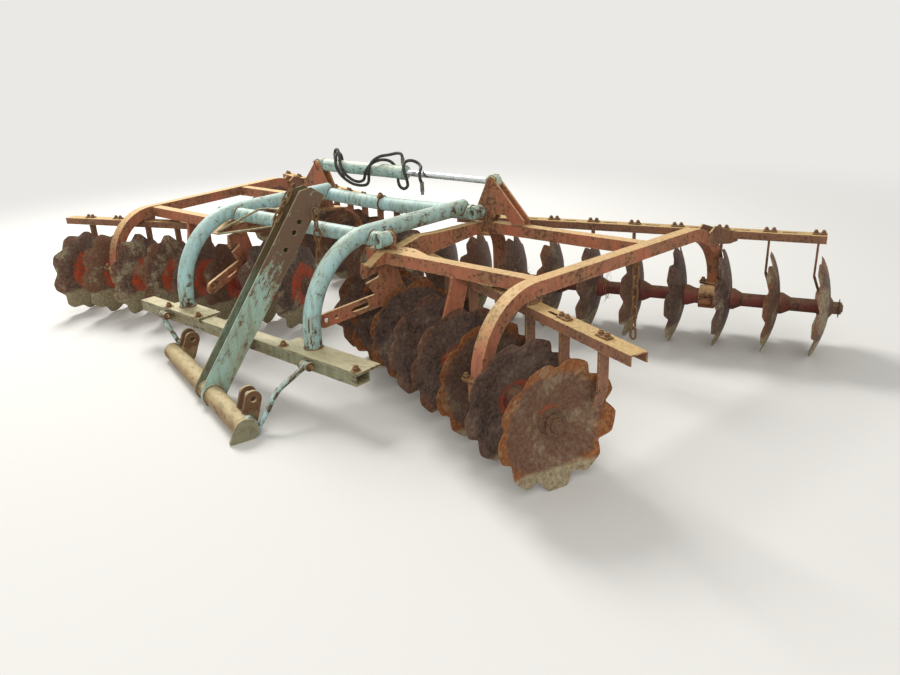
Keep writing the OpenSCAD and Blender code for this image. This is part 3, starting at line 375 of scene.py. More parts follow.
@dataclass(frozen=True)
class SoiledDiscSteel:
    """Boron steel discs, blued by heat treatment, rusted since and caked with dry soil.

    The eye sees rings round the hub: remains of orange paint, a grey-brown middle with
    pale streaks, a rust rim that the soil has scoured, and a pale crust of mud below the
    line they stood in. No two discs are soiled alike.
    """

    name: str
    side: Side
    row: Row
    mud_line: float
    paint_r: float
    seed: int
    rust_rim: float = 0.9
    soiled: float = 0.15
    soil_most: float = 0.60
    mud: tuple[str, str] = ("#756850", "#b0a283")
    paint: str = "#b24d30"
    cloud_mm: float = 120.0
    crust_mm: float = 15.0
    grain_mm: float = 3.5
    streak_mm: float = 11.0

    def build(self) -> bpy.types.Material:
        """Returns the finished material, its rings centred on the gang's own shaft."""
        mat = bpy.data.materials.new(self.name)
        add = blank(mat)
        hub = gang_matrix(self.side, self.row).translation
        turn = GANG_TURN[self.row] * -self.side.value
        place = add("TexCoord").outputs["Object"]
        shifted = add("VectorMath", {0: place, 1: hub}, operation="SUBTRACT")
        local = add("VectorRotate", {"Vector": shifted, "Angle": -turn}, rotation_type="Z_AXIS")
        axes = add("SeparateXYZ", {0: local})
        flat = add("CombineXYZ", {"Y": axes.outputs["Y"], "Z": axes.outputs["Z"]})
        radius = add("VectorMath", {0: flat}, operation="LENGTH")
        spoke = add("VectorMath", {0: flat}, operation="NORMALIZE")

        pitches = add("Math", {0: axes.outputs["X"], 1: DISC_PITCH}, operation="DIVIDE")
        number = add("Math", {0: pitches}, operation="ROUND")
        each, other = (
            add("TexWhiteNoise", {"W": add("Math", {0: number, 1: self.seed + shift}, operation="ADD")},
                noise_dimensions="1D")
            for shift in (0.0, 0.37))
        drawn = add("VectorMath", {0: local, "Scale": 0.45}, operation="SCALE")
        fan = add("VectorMath", {0: spoke, 1: (0.06, 0.06, 0.06), 2: drawn}, operation="MULTIPLY_ADD")
        cloud, crust, grain, streak = (
            add("TexNoise", {"Vector": over, "Scale": per_mm(size), "Detail": detail, "Roughness": rough})
            for over, size, detail, rough in (
                (place, self.cloud_mm, 6.0, 0.62), (place, self.crust_mm, 8.0, 0.72),
                (place, self.grain_mm, 3.0, 0.7), (fan, self.streak_mm, 6.0, 0.65)))

        wide = add("Math", {0: each, 1: 0.022, 2: radius}, operation="MULTIPLY_ADD")
        ring = add("Math", {0: cloud, 1: 0.13, 2: wide}, operation="MULTIPLY_ADD")
        rim_share = add("MapRange", {"Value": other, "From Min": 0.50, "From Max": 0.72, "To Min": 0.12,
                                     "To Max": self.rust_rim})
        rim = add("MapRange", {"Value": ring, "From Min": 0.278, "From Max": 0.300, "To Max": rim_share})
        painted_to = self.paint_r + 0.065
        hub_paint = add("MapRange", {"Value": ring, "From Min": painted_to + 0.012,
                                     "From Max": painted_to - 0.006})
        kept = add("MapRange", {"Value": crust, "From Min": 0.58, "From Max": 0.48, "To Max": 0.92})

        blued = add("MapRange", {"Value": cloud, "From Min": 0.42, "From Max": 0.58})
        shine = add("Mix", {0: blued, 6: "#3a2e2b", 7: "#5f4d47"}, data_type="RGBA")
        warmth = add("MapRange", {"Value": each, "From Min": 0.35, "From Max": 0.95, "To Max": 0.75})
        warmed = add("Mix", {0: warmth, 6: shine, 7: "#6d4429"}, data_type="RGBA")
        crusted = add("MapRange", {"Value": crust, "From Min": 0.42, "From Max": 0.66, "To Max": 0.65})
        middle = add("Mix", {0: crusted, 6: warmed, 7: "#7d6350"}, data_type="RGBA")
        chalky = add("MapRange", {"Value": streak, "From Min": 0.48, "From Max": 0.70, "To Max": 0.42})
        chalk = add("Mix", {0: chalky, 6: middle, 7: "#877968"}, data_type="RGBA")
        scoured = add("Math", {0: streak, 1: 0.6, 2: crust}, operation="MULTIPLY_ADD")
        bright = add("MapRange", {"Value": scoured, "From Min": 0.66, "From Max": 0.96})
        rust = add("Mix", {0: bright, 6: "#6b3e20", 7: "#a26535"}, data_type="RGBA")
        banded = add("Mix", {0: rim, 6: chalk, 7: rust}, data_type="RGBA")
        paint_mask = add("Math", {0: hub_paint, 1: kept}, operation="MULTIPLY")
        painted = add("Mix", {0: paint_mask, 6: banded, 7: self.paint}, data_type="RGBA")

        spread = add("Math", {0: other, 1: self.soiled, 2: cloud}, operation="MULTIPLY_ADD")
        soil_patch = add("MapRange", {"Value": spread, "From Min": 0.62, "From Max": 0.72,
                                      "To Max": self.soil_most})
        height = add("SeparateXYZ", {0: place})
        stood_in = add("Math", {0: each, 1: -0.030, 2: height.outputs["Z"]}, operation="MULTIPLY_ADD")
        line = add("Math", {0: cloud, 1: 0.10, 2: stood_in}, operation="MULTIPLY_ADD")
        stood = add("MapRange", {"Value": line, "From Min": self.mud_line + 0.052,
                                 "From Max": self.mud_line + 0.036, "To Max": 0.94})
        mud_share = add("Math", {0: soil_patch, 1: stood}, operation="MAXIMUM")
        dry = add("MapRange", {"Value": crust, "From Min": 0.36, "From Max": 0.64})
        mud = add("Mix", {0: dry, 6: self.mud[0], 7: self.mud[1]}, data_type="RGBA")
        colour = add("Mix", {0: mud_share, 6: painted, 7: mud}, data_type="RGBA")
        rough = add("MapRange", {"Value": mud_share, "To Min": 0.60, "To Max": 0.95})
        fine = add("Math", {0: grain, 1: 0.35, 2: mud_share}, operation="MULTIPLY_ADD")
        relief = add("Math", {0: crust, 1: 1.0, 2: fine}, operation="MULTIPLY_ADD")
        bump = add("Bump", {"Strength": 0.75, "Distance": 0.0028, "Height": relief})
        shader = add("BsdfPrincipled", {"Base Color": colour, "Roughness": rough, "Specular IOR Level": 0.25,
                                        "Normal": bump})
        add("OutputMaterial", {"Surface": shader})
        return mat


@dataclass(frozen=True)
class BrightChrome:
    """Hard chrome on a ground rod, with its forged eye left in sprayed enamel.

    The eye sees mirror-bright steel under a faint film of dust and oil, then a chalky
    cream end with rust in its hollows.
    """

    name: str
    eye_from: float = 0.655
    film_mm: float = 40.0
    chip_mm: float = 14.0

    def build(self) -> bpy.types.Material:
        """Returns the finished material."""
        mat = bpy.data.materials.new(self.name)
        add = blank(mat)
        place = add("TexCoord").outputs["Object"]
        film, chip = (
            add("TexNoise", {"Vector": place, "Scale": per_mm(size), "Detail": detail, "Roughness": rough})
            for size, detail, rough in ((self.film_mm, 6.0, 0.6), (self.chip_mm, 7.0, 0.65)))
        across = add("SeparateXYZ", {0: place})
        forged = add("MapRange", {"Value": across.outputs["X"], "From Min": self.eye_from - 0.001,
                                  "From Max": self.eye_from + 0.001})
        filmed = add("MapRange", {"Value": film, "From Min": 0.50, "From Max": 0.72, "To Max": 0.5})
        bright = add("Mix", {0: filmed, 6: "#dfe3e6", 7: "#b3aa9a"}, data_type="RGBA")
        chipped = add("MapRange", {"Value": chip, "From Min": 0.50, "From Max": 0.58})
        enamel = add("Mix", {0: chipped, 6: "#b9c8b4", 7: "#74543a"}, data_type="RGBA")
        colour = add("Mix", {0: forged, 6: bright, 7: enamel}, data_type="RGBA")
        metallic = add("MapRange", {"Value": forged, "To Min": 1.0, "To Max": 0.0})
        shine = add("MapRange", {"Value": film, "From Min": 0.35, "From Max": 0.70, "To Min": 0.16,
                                 "To Max": 0.42})
        rough = add("Math", {0: forged, 1: 0.45, 2: shine}, operation="MULTIPLY_ADD")
        shader = add("BsdfPrincipled", {"Base Color": colour, "Metallic": metallic, "Roughness": rough})
        add("OutputMaterial", {"Surface": shader})
        return mat


@dataclass(frozen=True)
class DustyFilm:
    """A small plain part under a film of dust, such as plated steel, hose rubber or straw.

    The eye sees one even material, dulled in cloudy patches.
    """

    name: str
    clean: str
    dusty: str
    metallic: float
    rough: float
    patch_mm: float = 30.0

    def build(self) -> bpy.types.Material:
        """Returns the finished material."""
        mat = bpy.data.materials.new(self.name)
        add = blank(mat)
        place = add("TexCoord").outputs["Object"]
        cloud = add("TexNoise", {"Vector": place, "Scale": per_mm(self.patch_mm), "Detail": 6.0,
                                 "Roughness": 0.65})
        share = add("MapRange", {"Value": cloud, "From Min": 0.40, "From Max": 0.66, "To Max": 0.85})
        colour = add("Mix", {0: share, 6: self.clean, 7: self.dusty}, data_type="RGBA")
        rough = add("MapRange", {"Value": share, "To Min": self.rough, "To Max": 0.92})
        bump = add("Bump", {"Strength": 0.4, "Distance": 0.0004, "Height": cloud})
        shader = add("BsdfPrincipled", {"Base Color": colour, "Metallic": self.metallic, "Roughness": rough,
                                        "Normal": bump})
        add("OutputMaterial", {"Surface": shader})
        return mat


def finishes() -> Made:
    """Builds every finish of the harrow.

    Returns:
        Material by finish name.
    """
    head, leaning = head_matrix(), mast_matrix()
    mast_up = [tuple(leaning @ Vector((0, 0, z))) for z in (0.40, 0.80)]
    mast_left = [tuple(leaning @ Vector((x, 0, 0))) for x in (0.010, -0.030)]
    head_end = [tuple(head @ Vector((x, 0, 0))) for x in (0.5695, 0.5730)]
    olive = ("#786c52", "#aca283")
    # The pale tops are dust and painted sunlight, and the pale edges a painted highlight.
    coats = [
        WeatheredEnamel(
            "centre_enamel", "#a4c8c8", "#98b5a8", rust="#6c5138", rust_dark="#3a322b", dust="#dad8bd",
            runs="#7f7a58", bare=0.180, chip_mm=17, specks=0.75, run_share=0.62, dust_cover=0.42,
            drawn_out=(0.7, 2.4, 2.4), worse=((0, 0, 0.42), (0, 0, 0.27), 0.13), pale_edge=0.3),
        WeatheredEnamel(
            "bar_enamel", "#8f9074", "#7b7050", rust="#66503a", rust_dark="#3f362c", dust="#d3c79c",
            runs="#64543a", chip_mm=18, run_share=0.65, dust_cover=0.90, drawn_out=(3.0, 1.0, 1.0),
            pale_edge=0.85),
        WeatheredEnamel(
            "headstock_rust", "#a38b60", "#806647", rust="#7a5638", rust_dark="#54402f", dust="#d6c699",
            runs="#6b5a40", bare=0.225, chip_mm=22, run_share=0.6, dust_cover=0.80, gloss=0.72,
            drawn_out=(2.5, 1.0, 1.0), along=tuple(head.to_euler()), pale_edge=0.5,
            worse=((0, 0, 0.092), (0, 0, 0.112), 0.30), grimy=(*head_end, "#83856c", 0.85)),
        # Its left side is darkened to olive as painted shade.
        WeatheredEnamel(
            "mast_enamel", "#9fbcae", "#8f997d", rust="#755c48", rust_dark="#65503f", dust="#b9b088",
            runs="#75694c", bare=0.185, chip_mm=15, specks=0.9, run_share=0.55, dust_cover=0.35,
            drawn_out=(1.0, 1.0, 2.6), along=tuple(leaning.to_euler()), worse=(*mast_up, 0.30), pale_edge=0.8,
            grimy=(*mast_left, "#5b5133", 0.90)),
        # The wing's cream tops are dust and painted sunlight.
        WeatheredEnamel(
            "wing_oxide", "#b3684c", "#9b6f50", rust="#7d5236", rust_dark="#553d2f", dust="#dcbc82",
            runs="#775440", bare=0.225, chip_mm=18, run_share=0.6, dust_cover=0.95, gloss=0.64, edge_mm=4,
            pale_edge=0.8),
        WeatheredEnamel(
            "scraper_rust", "#8f6248", "#7e5c47", rust="#704c34", rust_dark="#4c3a2f", dust="#d2b478",
            runs="#6a4f40", bare=0.24, chip_mm=14, run_share=0.5, dust_cover=0.92, gloss=0.7, pale_edge=0.7),
        WeatheredEnamel(
            "spool_enamel", "#7d3129", "#66352b", rust="#614030", rust_dark="#382a25", dust="#94805f",
            runs="#5a4334", bare=0.24, chip_mm=16, run_share=0.4, dust_cover=0.5, gloss=0.6),
        WeatheredEnamel(
            "bare_shaft", "#6b5140", "#57443a", rust="#774f34", rust_dark="#3b2d26", dust="#a08b68",
            bare=0.30, chip_mm=14, gloss=0.72),
        WeatheredEnamel(
            "chain_rust", "#7d5a38", "#644a36", rust="#87592f", rust_dark="#3f2e24", dust="#a98d58",
            bare=0.30, chip_mm=9, dust_cover=0.35, gloss=0.7, edge_mm=2),
        WeatheredEnamel(
            "barrel_enamel", "#b9cdbd", "#9fc2bd", rust="#6f5a44", dust="#dcd2ac", bare=0.15, chip_mm=14,
            run_share=0.3, dust_cover=0.65, drawn_out=(2.0, 1.0, 1.0)),
        WeatheredEnamel(
            "bolt_rust", "#765039", "#5f4737", rust="#80522f", rust_dark="#3a2b23", dust="#c0a066", bare=0.28,
            chip_mm=9, patch_mm=60, dust_cover=0.6, gloss=0.7, edge_mm=1.5, relief_mm=0.4),
        WeatheredEnamel(
            "weld_scale", "#66523f", "#7a6248", rust="#74492b", rust_dark="#3a2f29", dust="#b0996b",
            bare=0.24, chip_mm=10, patch_mm=90, dust_cover=0.4, gloss=0.7, edge_mm=1.5, relief_mm=0.4),
        BrightChrome("rod_chrome"),
        DustyFilm("zinc_fitting", "#8f9190", "#6d5b47", metallic=0.8, rough=0.45),
        DustyFilm("hose_rubber", "#1c1d1e", "#5b5348", metallic=0.0, rough=0.62),
        DustyFilm("dry_straw", "#b59a63", "#8a7248", metallic=0.0, rough=0.85),
        SoiledDiscSteel("left_front_disc_steel", Side.LEFT, Row.FRONT, 0.150, 0.125, 5, rust_rim=0.30,
                        soiled=0.20, soil_most=0.80, mud=olive, paint="#c14f2c"),
        SoiledDiscSteel("right_front_disc_steel", Side.RIGHT, Row.FRONT, 0.060, 0.070, 2, soiled=0.10,
                        soil_most=0.35, paint="#ac4c33"),
        SoiledDiscSteel("left_rear_disc_steel", Side.LEFT, Row.REAR, 0.110, 0.100, 9, rust_rim=0.45),
        SoiledDiscSteel("right_rear_disc_steel", Side.RIGHT, Row.REAR, 0.120, 0.060, 14, rust_rim=0.45,
                        soil_most=0.75),
    ]
    return {coat.name: coat.build() for coat in coats}


# Studio


@dataclass
class Studio:
    """Pale floor, soft light and the photograph's point of view."""

    eye: Point = cal(3.12880, -2.03291, 1.52781)
    yaw: float = 0.725897
    pitch: float = 0.369987
    roll: float = 0.0447383
    focal_px: float = 752.3
    frame_px: float = 900.0
    sensor_mm: float = 36.0
    floor_size: float = 120.0
    floor_colour: str = "#dcdad5"
    sky_colour: str = "#eae9e6"
    fade: tuple[float, float] = (3.2, 7.5)
    lamps: tuple[tuple[str, Point, float, float], ...] = (
        ("key", (-4.5, 1.5, 6.0), 3.0, 560.0), ("fill", (5.0, -6.0, 5.0), 6.0, 250.0))

    def camera(self) -> None:
        """Stands the camera where the photograph was taken from."""
        ahead = Vector((-math.sin(self.yaw) * math.cos(self.pitch),
                        math.cos(self.yaw) * math.cos(self.pitch), -math.sin(self.pitch)))
        level = Vector((math.cos(self.yaw), math.sin(self.yaw), 0.0))
        down = ahead.cross(level)
        right = math.cos(self.roll) * level + math.sin(self.roll) * down
        down = -math.sin(self.roll) * level + math.cos(self.roll) * down
        data = bpy.data.cameras.new("view")
        data.sensor_width = self.sensor_mm
        data.lens = self.sensor_mm * self.focal_px / self.frame_px
        data.clip_end = 200.0
        camera = linked("view", data)
        camera.matrix_world = moved(*self.eye) @ Matrix((right, -down, -ahead)).transposed().to_4x4()
        bpy.context.scene.camera = camera

    def floor(self) -> None:
        """Lays a wide pale floor that fades into the pale sky a few metres out."""
        bpy.ops.mesh.primitive_plane_add(size=self.floor_size, location=(0, 0, 0))
        floor = bpy.context.active_object
        floor.name = "floor"
        mat = bpy.data.materials.new("plain_floor")
        add = blank(mat)
        out = add("VectorMath", {0: add("TexCoord").outputs["Object"]}, operation="LENGTH")
        far = add("MapRange", {"Value": out, "From Min": self.fade[0], "From Max": self.fade[1]},
                  interpolation_type="SMOOTHSTEP")
        matt = add("BsdfPrincipled", {"Base Color": self.floor_colour, "Roughness": 0.9})
        glow = add("Emission", {"Color": self.sky_colour, "Strength": 1.0})
        share = add("Math", {0: self.seen(add), 1: far}, operation="MULTIPLY")
        add("OutputMaterial", {"Surface": add("MixShader", {0: share, 1: matt, 2: glow})})
        floor.data.materials.append(mat)

    def seen(self, add: Adder) -> bpy.types.Node:
        """Whether a ray comes from the camera, a reflection or a clear piece.

        Args:
            add: adds a node to the tree.

        Returns:
            The node that gives 1 or 0.
        """
        path = add("LightPath")
        direct = add("Math", {0: path.outputs["Is Camera Ray"], 1: path.outputs["Is Glossy Ray"]},
                     operation="MAXIMUM")
        return add("Math", {0: direct, 1: path.outputs["Is Transmission Ray"]}, operation="MAXIMUM")

    def light(self) -> None:
        """Hangs a large soft key, a weaker fill and an even sky."""
        for name, at, size, watts in self.lamps:
            data = bpy.data.lights.new(name, "AREA")
            data.energy = watts
            data.size = size
            lamp = linked(name, data)
            lamp.location = at
            lamp.rotation_euler = (Vector((0, 0, 0.3)) - Vector(at)).to_track_quat("-Z", "Y").to_euler()
        world = bpy.data.worlds.new("sky")
        add = blank(world)
        lit = add("Background", {"Color": "#e6e6e4", "Strength": 0.75})
        shown = add("Background", {"Color": self.sky_colour, "Strength": 1.0})
        add("OutputWorld", {"Surface": add("MixShader", {0: self.seen(add), 1: lit, 2: shown})})
        bpy.context.scene.world = world
        bpy.context.scene.view_settings.view_transform = "Standard"

    def build(self) -> None:
        """Builds the camera, floor and lights."""
        self.camera()
        self.floor()
        self.light()
        LOG.info("studio: camera, floor and lights")


# Workshop


def start_clean() -> None:
    """Leaves edit mode and selects nothing."""
    if bpy.context.object and bpy.context.object.mode != "OBJECT":
        bpy.ops.object.mode_set(mode="OBJECT")
    bpy.ops.object.select_all(action="DESELECT")


@contextmanager
def editing(obj: bpy.types.Object) -> Iterator[None]:
    """Holds a mesh in edit mode while a block runs.

    Args:
        obj: the mesh's object, all of it selected at first.

    Yields:
        Nothing.
    """
    bpy.context.view_layer.objects.active = obj
    bpy.ops.object.mode_set(mode="EDIT")
    bpy.ops.mesh.select_all(action="SELECT")
    yield
    bpy.ops.object.mode_set(mode="OBJECT")


def linked(name: str, data: bpy.types.ID) -> bpy.types.Object:
    """Puts new data into the scene.

    Args:
        name: its object's name.
        data: the mesh, curve, camera or light.

    Returns:
        The object.
    """
    obj = bpy.data.objects.new(name, data)
    bpy.context.scene.collection.objects.link(obj)
    return obj


def primitive(add: Callable[..., object], **settings: object) -> bpy.types.Object:
    """Adds a mesh primitive, its place in its mesh.

    Args:
        add: the operator that adds it.
        settings: the operator's settings.

    Returns:
        The new object, at the origin.
    """
    start_clean()
    add(**settings)
    bpy.ops.object.transform_apply(location=True, rotation=True, scale=True)
    return bpy.context.active_object


def pick_top(obj: bpy.types.Object) -> None:
    """Selects the faces that look up, in edit mode."""
    bpy.ops.mesh.select_mode(type="FACE")
    bpy.ops.mesh.select_all(action="DESELECT")
    work = bmesh.from_edit_mesh(obj.data)
    for face in work.faces:
        face.select_set(face.normal.z > 0.9)
    work.select_flush(True)
    bmesh.update_edit_mesh(obj.data)


def bevelled(obj: bpy.types.Object, width: float, segments: int = 2, angle: float = 40.0) -> bpy.types.Object:
    """Rounds an object's sharp edges and shades it.

    Args:
        obj: the object, in object mode and at the origin.
        width: width of the round, in metres.
        segments: faces across the round.
        angle: edges sharper than this are rounded, in degrees.

    Returns:
        The same object.
    """
    edge = obj.modifiers.new("worn edge", "BEVEL")
    edge.width = width
    edge.segments = segments
    edge.limit_method = "ANGLE"
    edge.angle_limit = math.radians(angle)
    bpy.context.view_layer.objects.active = obj
    bpy.ops.object.modifier_apply(modifier=edge.name)
    start_clean()
    obj.select_set(True)
    bpy.ops.object.shade_smooth_by_angle(angle=math.radians(35))
    obj.select_set(False)
    return obj


def joined(pieces: Sequence[bpy.types.Object], name: str) -> bpy.types.Object:
    """Joins finished pieces into one.

    Args:
        pieces: the pieces, each at the origin.
        name: the joined piece's name.

    Returns:
        The joined piece.
    """
    start_clean()
    for piece in pieces:
        piece.select_set(True)
    bpy.context.view_layer.objects.active = pieces[0]
    if len(pieces) > 1:
        bpy.ops.object.join()
    start_clean()
    pieces[0].name = name
    return pieces[0]


def put(data: bpy.types.Mesh, place: Matrix) -> bpy.types.Mesh:
    """Moves a mesh to its place, its faces outwards even where that mirrors it.

    Args:
        data: the mesh.
        place: the matrix to its place.

    Returns:
        The same mesh.
    """
    data.transform(place)
    if place.determinant() < 0:
        data.flip_normals()
    return data


def copies(source: bpy.types.Object, places: Iterable[Matrix], name: str = "copies") -> bpy.types.Object:
    """Copies a model at the origin to each place, and joins the copies into one piece."""
    return joined([linked(name, put(source.data.copy(), place)) for place in places], name)


def discard(*models: bpy.types.Object) -> None:
    """Removes models that have been copied."""
    for model in models:
        bpy.data.objects.remove(model, do_unlink=True)


def dressed(obj: bpy.types.Object, body: str, finish: bpy.types.Material) -> bpy.types.Object:
    """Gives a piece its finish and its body.

    Args:
        obj: the piece.
        body: the body it rides on.
        finish: its material.

    Returns:
        The piece.
    """
    obj.data.materials.clear()
    obj.data.materials.append(finish)
    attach(obj, body)
    LOG.info("%s rides on %s", obj.name, body)
    return obj


def hex_nut(radius: float, height: float, stud: float, washer: float = 0.003) -> bpy.types.Object:
    """A worn hexagon nut on its washer, with the bolt's end standing out of it.

    Args:
        radius: across the corners, halved.
        height: height of the hexagon.
        stud: how far the thread stands out.
        washer: thickness of the washer.

    Returns:
        The model: its seat at the origin, +Z outwards.
    """
    nut = primitive(bpy.ops.mesh.primitive_cylinder_add, vertices=6, radius=radius, depth=height,
                    location=(0, 0, height / 2 + washer))
    with editing(nut):
        pick_top(nut)
        bpy.ops.mesh.inset(thickness=radius * 0.30)
        bpy.ops.mesh.extrude_region_move(TRANSFORM_OT_translate={"value": (0, 0, stud)})
        bpy.ops.mesh.inset(thickness=radius * 0.08)
        bpy.ops.mesh.primitive_cylinder_add(vertices=16, radius=radius * 1.5, depth=washer,
                                            location=(0, 0, washer / 2))
    return bevelled(nut, radius * 0.10, 1)


def nutted_plate(
    size: Point, middle: float, inset: float, rise: float, worn: float, nut: Point, seats: Iterable[Point],
) -> bpy.types.Object:
    """A plate with a raised top under nuts.

    Args:
        size: its sides.
        middle: height of its middle.
        inset: how far its raised top stands in from its sides.
        rise: how far its top is raised.
        worn: width of its worn edge.
        nut: the nuts' corner radius, height and stud.
        seats: where the nuts stand.

    Returns:
        The model, +Z outwards.
    """
    plate = primitive(bpy.ops.mesh.primitive_cube_add, size=1, location=(0, 0, middle), scale=size)
    with editing(plate):
        pick_top(plate)
        bpy.ops.mesh.inset(thickness=inset)
        bpy.ops.transform.translate(value=(0, 0, rise))
    bevelled(plate, worn, 2)
    model = hex_nut(*nut)
    nuts = copies(model, [moved(*seat) for seat in seats])
    discard(model)
    return joined([plate, nuts], "nutted_plate")


def weld_ring(major: float, bead: float, seed: int) -> bpy.types.Object:
    """A rippled weld bead round a tube.

    Args:
        major: radius of the bead's middle line.
        bead: radius of the bead.
        seed: sets the ripple.

    Returns:
        The model: a ring about the Z axis.
    """
    ring = primitive(bpy.ops.mesh.primitive_torus_add, major_segments=72, minor_segments=8,
                     major_radius=major, minor_radius=bead)
    with editing(ring):
        bpy.ops.transform.vertex_random(offset=bead * 0.35, seed=seed)
    return bevelled(ring, 0.0002, 1, 89)


def round_curve(
    name: str, line: Sequence[Vector], radius: float, resolution: int, closed: bool = False,
) -> bpy.types.Object:
    """A round curve along a line, its ends capped unless it is closed.

    Args:
        name: its name.
        line: its points, in the harrow's frame.
        radius: its radius.
        resolution: how finely it is rounded.
        closed: whether the line returns to its start.

    Returns:
        The curve's object.
    """
    curve = bpy.data.curves.new(name, "CURVE")
    curve.dimensions = "3D"
    curve.bevel_depth = radius
    curve.bevel_resolution = resolution
    curve.use_fill_caps = not closed
    spline = curve.splines.new("POLY")
    spline.points.add(len(line) - 1)
    for point, place in zip(spline.points, line):
        point.co = (*place, 1)
    spline.use_cyclic_u = closed
    spline.use_smooth = True
    return linked(name, curve)


def weld_path(
    points: Sequence[Point], bead: float, seed: int, closed: bool = False, wobble: float = 0.35,
) -> bpy.types.Object:
    """A rippled weld bead along a line.

    Args:
        points: the line, in the harrow's frame.
        bead: radius of the bead.
        seed: sets the ripple.
        closed: whether the line returns to its start.
        wobble: how far its surface strays, as a share of its radius.

    Returns:
        The bead as a mesh.
    """
    start_clean()
    dense: list[Vector] = []
    corners = [Vector(point) for point in points]
    loop = [*corners, corners[0]] if closed else corners
    for a, b in zip(loop, loop[1:]):
        count = max(1, round((b - a).length / (2.2 * bead)))
        dense += [a + (b - a) * k / count for k in range(count)]
    if not closed:
        dense.append(corners[-1])
    weld = round_curve("weld", dense, bead, 2, closed)
    weld.select_set(True)
    bpy.context.view_layer.objects.active = weld
    bpy.ops.object.convert(target="MESH")
    weld = bpy.context.active_object
    with editing(weld):
        bpy.ops.transform.vertex_random(offset=bead * wobble, seed=seed)
    bpy.ops.object.shade_smooth()
    start_clean()
    return weld


# Hoses


@dataclass
class CylinderHoses:
    """Two hydraulic hoses wound round the cylinder, each with a crimped ferrule and a coupler."""

    diameter: float = 0.018
    axis: Point = (0.0, 1.107, 0.856)
    crimps: tuple[float, ...] = (0.007, 0.012, 0.018, 0.023)
    routes: dict[str, list[Point]] = field(default_factory=lambda: {
        "base_hose": [
            (-545, 0, 52), (-545, 0, 74), (-528, -8, 98), (-494, -20, 104), (-464, -38, 84), (-446, -52, 50),
            (-436, -55, 10), (-420, -42, -34), (-396, -20, -66), (-360, -16, -78), (-320, -16, -78),
            (-282, -20, -64), (-250, -38, -40), (-220, -54, -6), (-190, -50, 30), (-158, -28, 54),
            (-124, 4, 62), (-94, 36, 48), (-74, 56, 12), (-58, 50, -30), (-30, 24, -66), (6, 2, -86),
            (46, -8, -92), (84, -18, -72), (104, -40, -36), (106, -56, 4), (92, -50, 42), (84, -22, 66),
            (98, 10, 70), (132, 24, 58), (164, 14, 42), (192, -14, 36), (203, -38, 8), (204, -36, -24),
            (204, -24, -48), (204, -24, -68)],
        "gland_hose": [
            (40, 0, 52), (40, 0, 74), (22, 10, 100), (-14, 18, 104), (-52, 20, 98), (-92, 12, 90),
            (-126, -16, 84), (-150, -50, 64), (-165, -68, 34), (-180, -66, 0), (-212, -40, -42),
            (-244, -16, -74), (-282, 0, -96), (-322, 2, -104), (-362, -2, -104), (-400, -6, -98),
            (-434, -22, -76), (-460, -44, -40), (-476, -58, 4), (-483, -54, 44), (-496, -30, 76),
            (-514, 4, 80), (-534, 38, 62), (-548, 58, 26), (-552, 60, -14), (-552, 60, -42)],
    })

    def smooth(self, route: Sequence[Point], steps: int = 5) -> list[Vector]:
        """Runs a smooth line through a route's points.

        Args:
            route: points in millimetres from the cylinder's axis.
            steps: new points for each span.

        Returns:
            Points in the harrow's frame, in metres.
        """
        origin = Vector(cal(*self.axis))
        fixed = [origin + Vector(p) / 1000 for p in route]
        ends = [2 * fixed[0] - fixed[1], *fixed, 2 * fixed[-1] - fixed[-2]]
        line = []
        for a, b, c, d in zip(ends, ends[1:], ends[2:], ends[3:]):
            for k in range(steps):
                t = k / steps
                line.append(0.5 * (2 * b + (c - a) * t + (2 * a - 5 * b + 4 * c - d) * t ** 2
                                   + (3 * b - a - 3 * c + d) * t ** 3))
        return [*line, fixed[-1]]

    def ferrule(self, name: str, at: Vector) -> bpy.types.Object:
        """A crimped ferrule over a hose's end.

        Args:
            name: the piece's name.
            at: where the hose ends.

        Returns:
            The piece.
        """
        sleeve = primitive(bpy.ops.mesh.primitive_cylinder_add, vertices=24, radius=0.0118, depth=0.030,
                           location=(0, 0, 0.015))
        with editing(sleeve):
            for height in self.crimps:
                bpy.ops.mesh.select_all(action="SELECT")
                bpy.ops.mesh.bisect(plane_co=(0, 0, height), plane_no=(0, 0, 1))
            work = bmesh.from_edit_mesh(sleeve.data)
            for vertex in work.verts:
                if any(abs(vertex.co.z - height) < 1e-4 for height in self.crimps[1:3]):
                    vertex.co.x *= 0.90
                    vertex.co.y *= 0.90
            bmesh.update_edit_mesh(sleeve.data)
        bevelled(sleeve, 0.0008, 2)
        sleeve.data.transform(moved(*at))
        sleeve.name = name
        return sleeve

    def build(self, made: Made) -> None:
        """Builds both hoses in place of their solids."""
        for name, route in self.routes.items():
            line = self.smooth(route)
            hose = round_curve(name, line, self.diameter / 2, 4)
            hose.data.materials.append(made["hose_rubber"])
            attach(hose, "ram_barrel")
            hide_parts("ram_hoses")
            top = self.ferrule(f"{name}_ferrule", line[0])
            low = self.ferrule(f"{name}_end_ferrule", line[-1])
            for piece in (top, low):
                dressed(piece, "ram_barrel", made["zinc_fitting"])


# The harrow


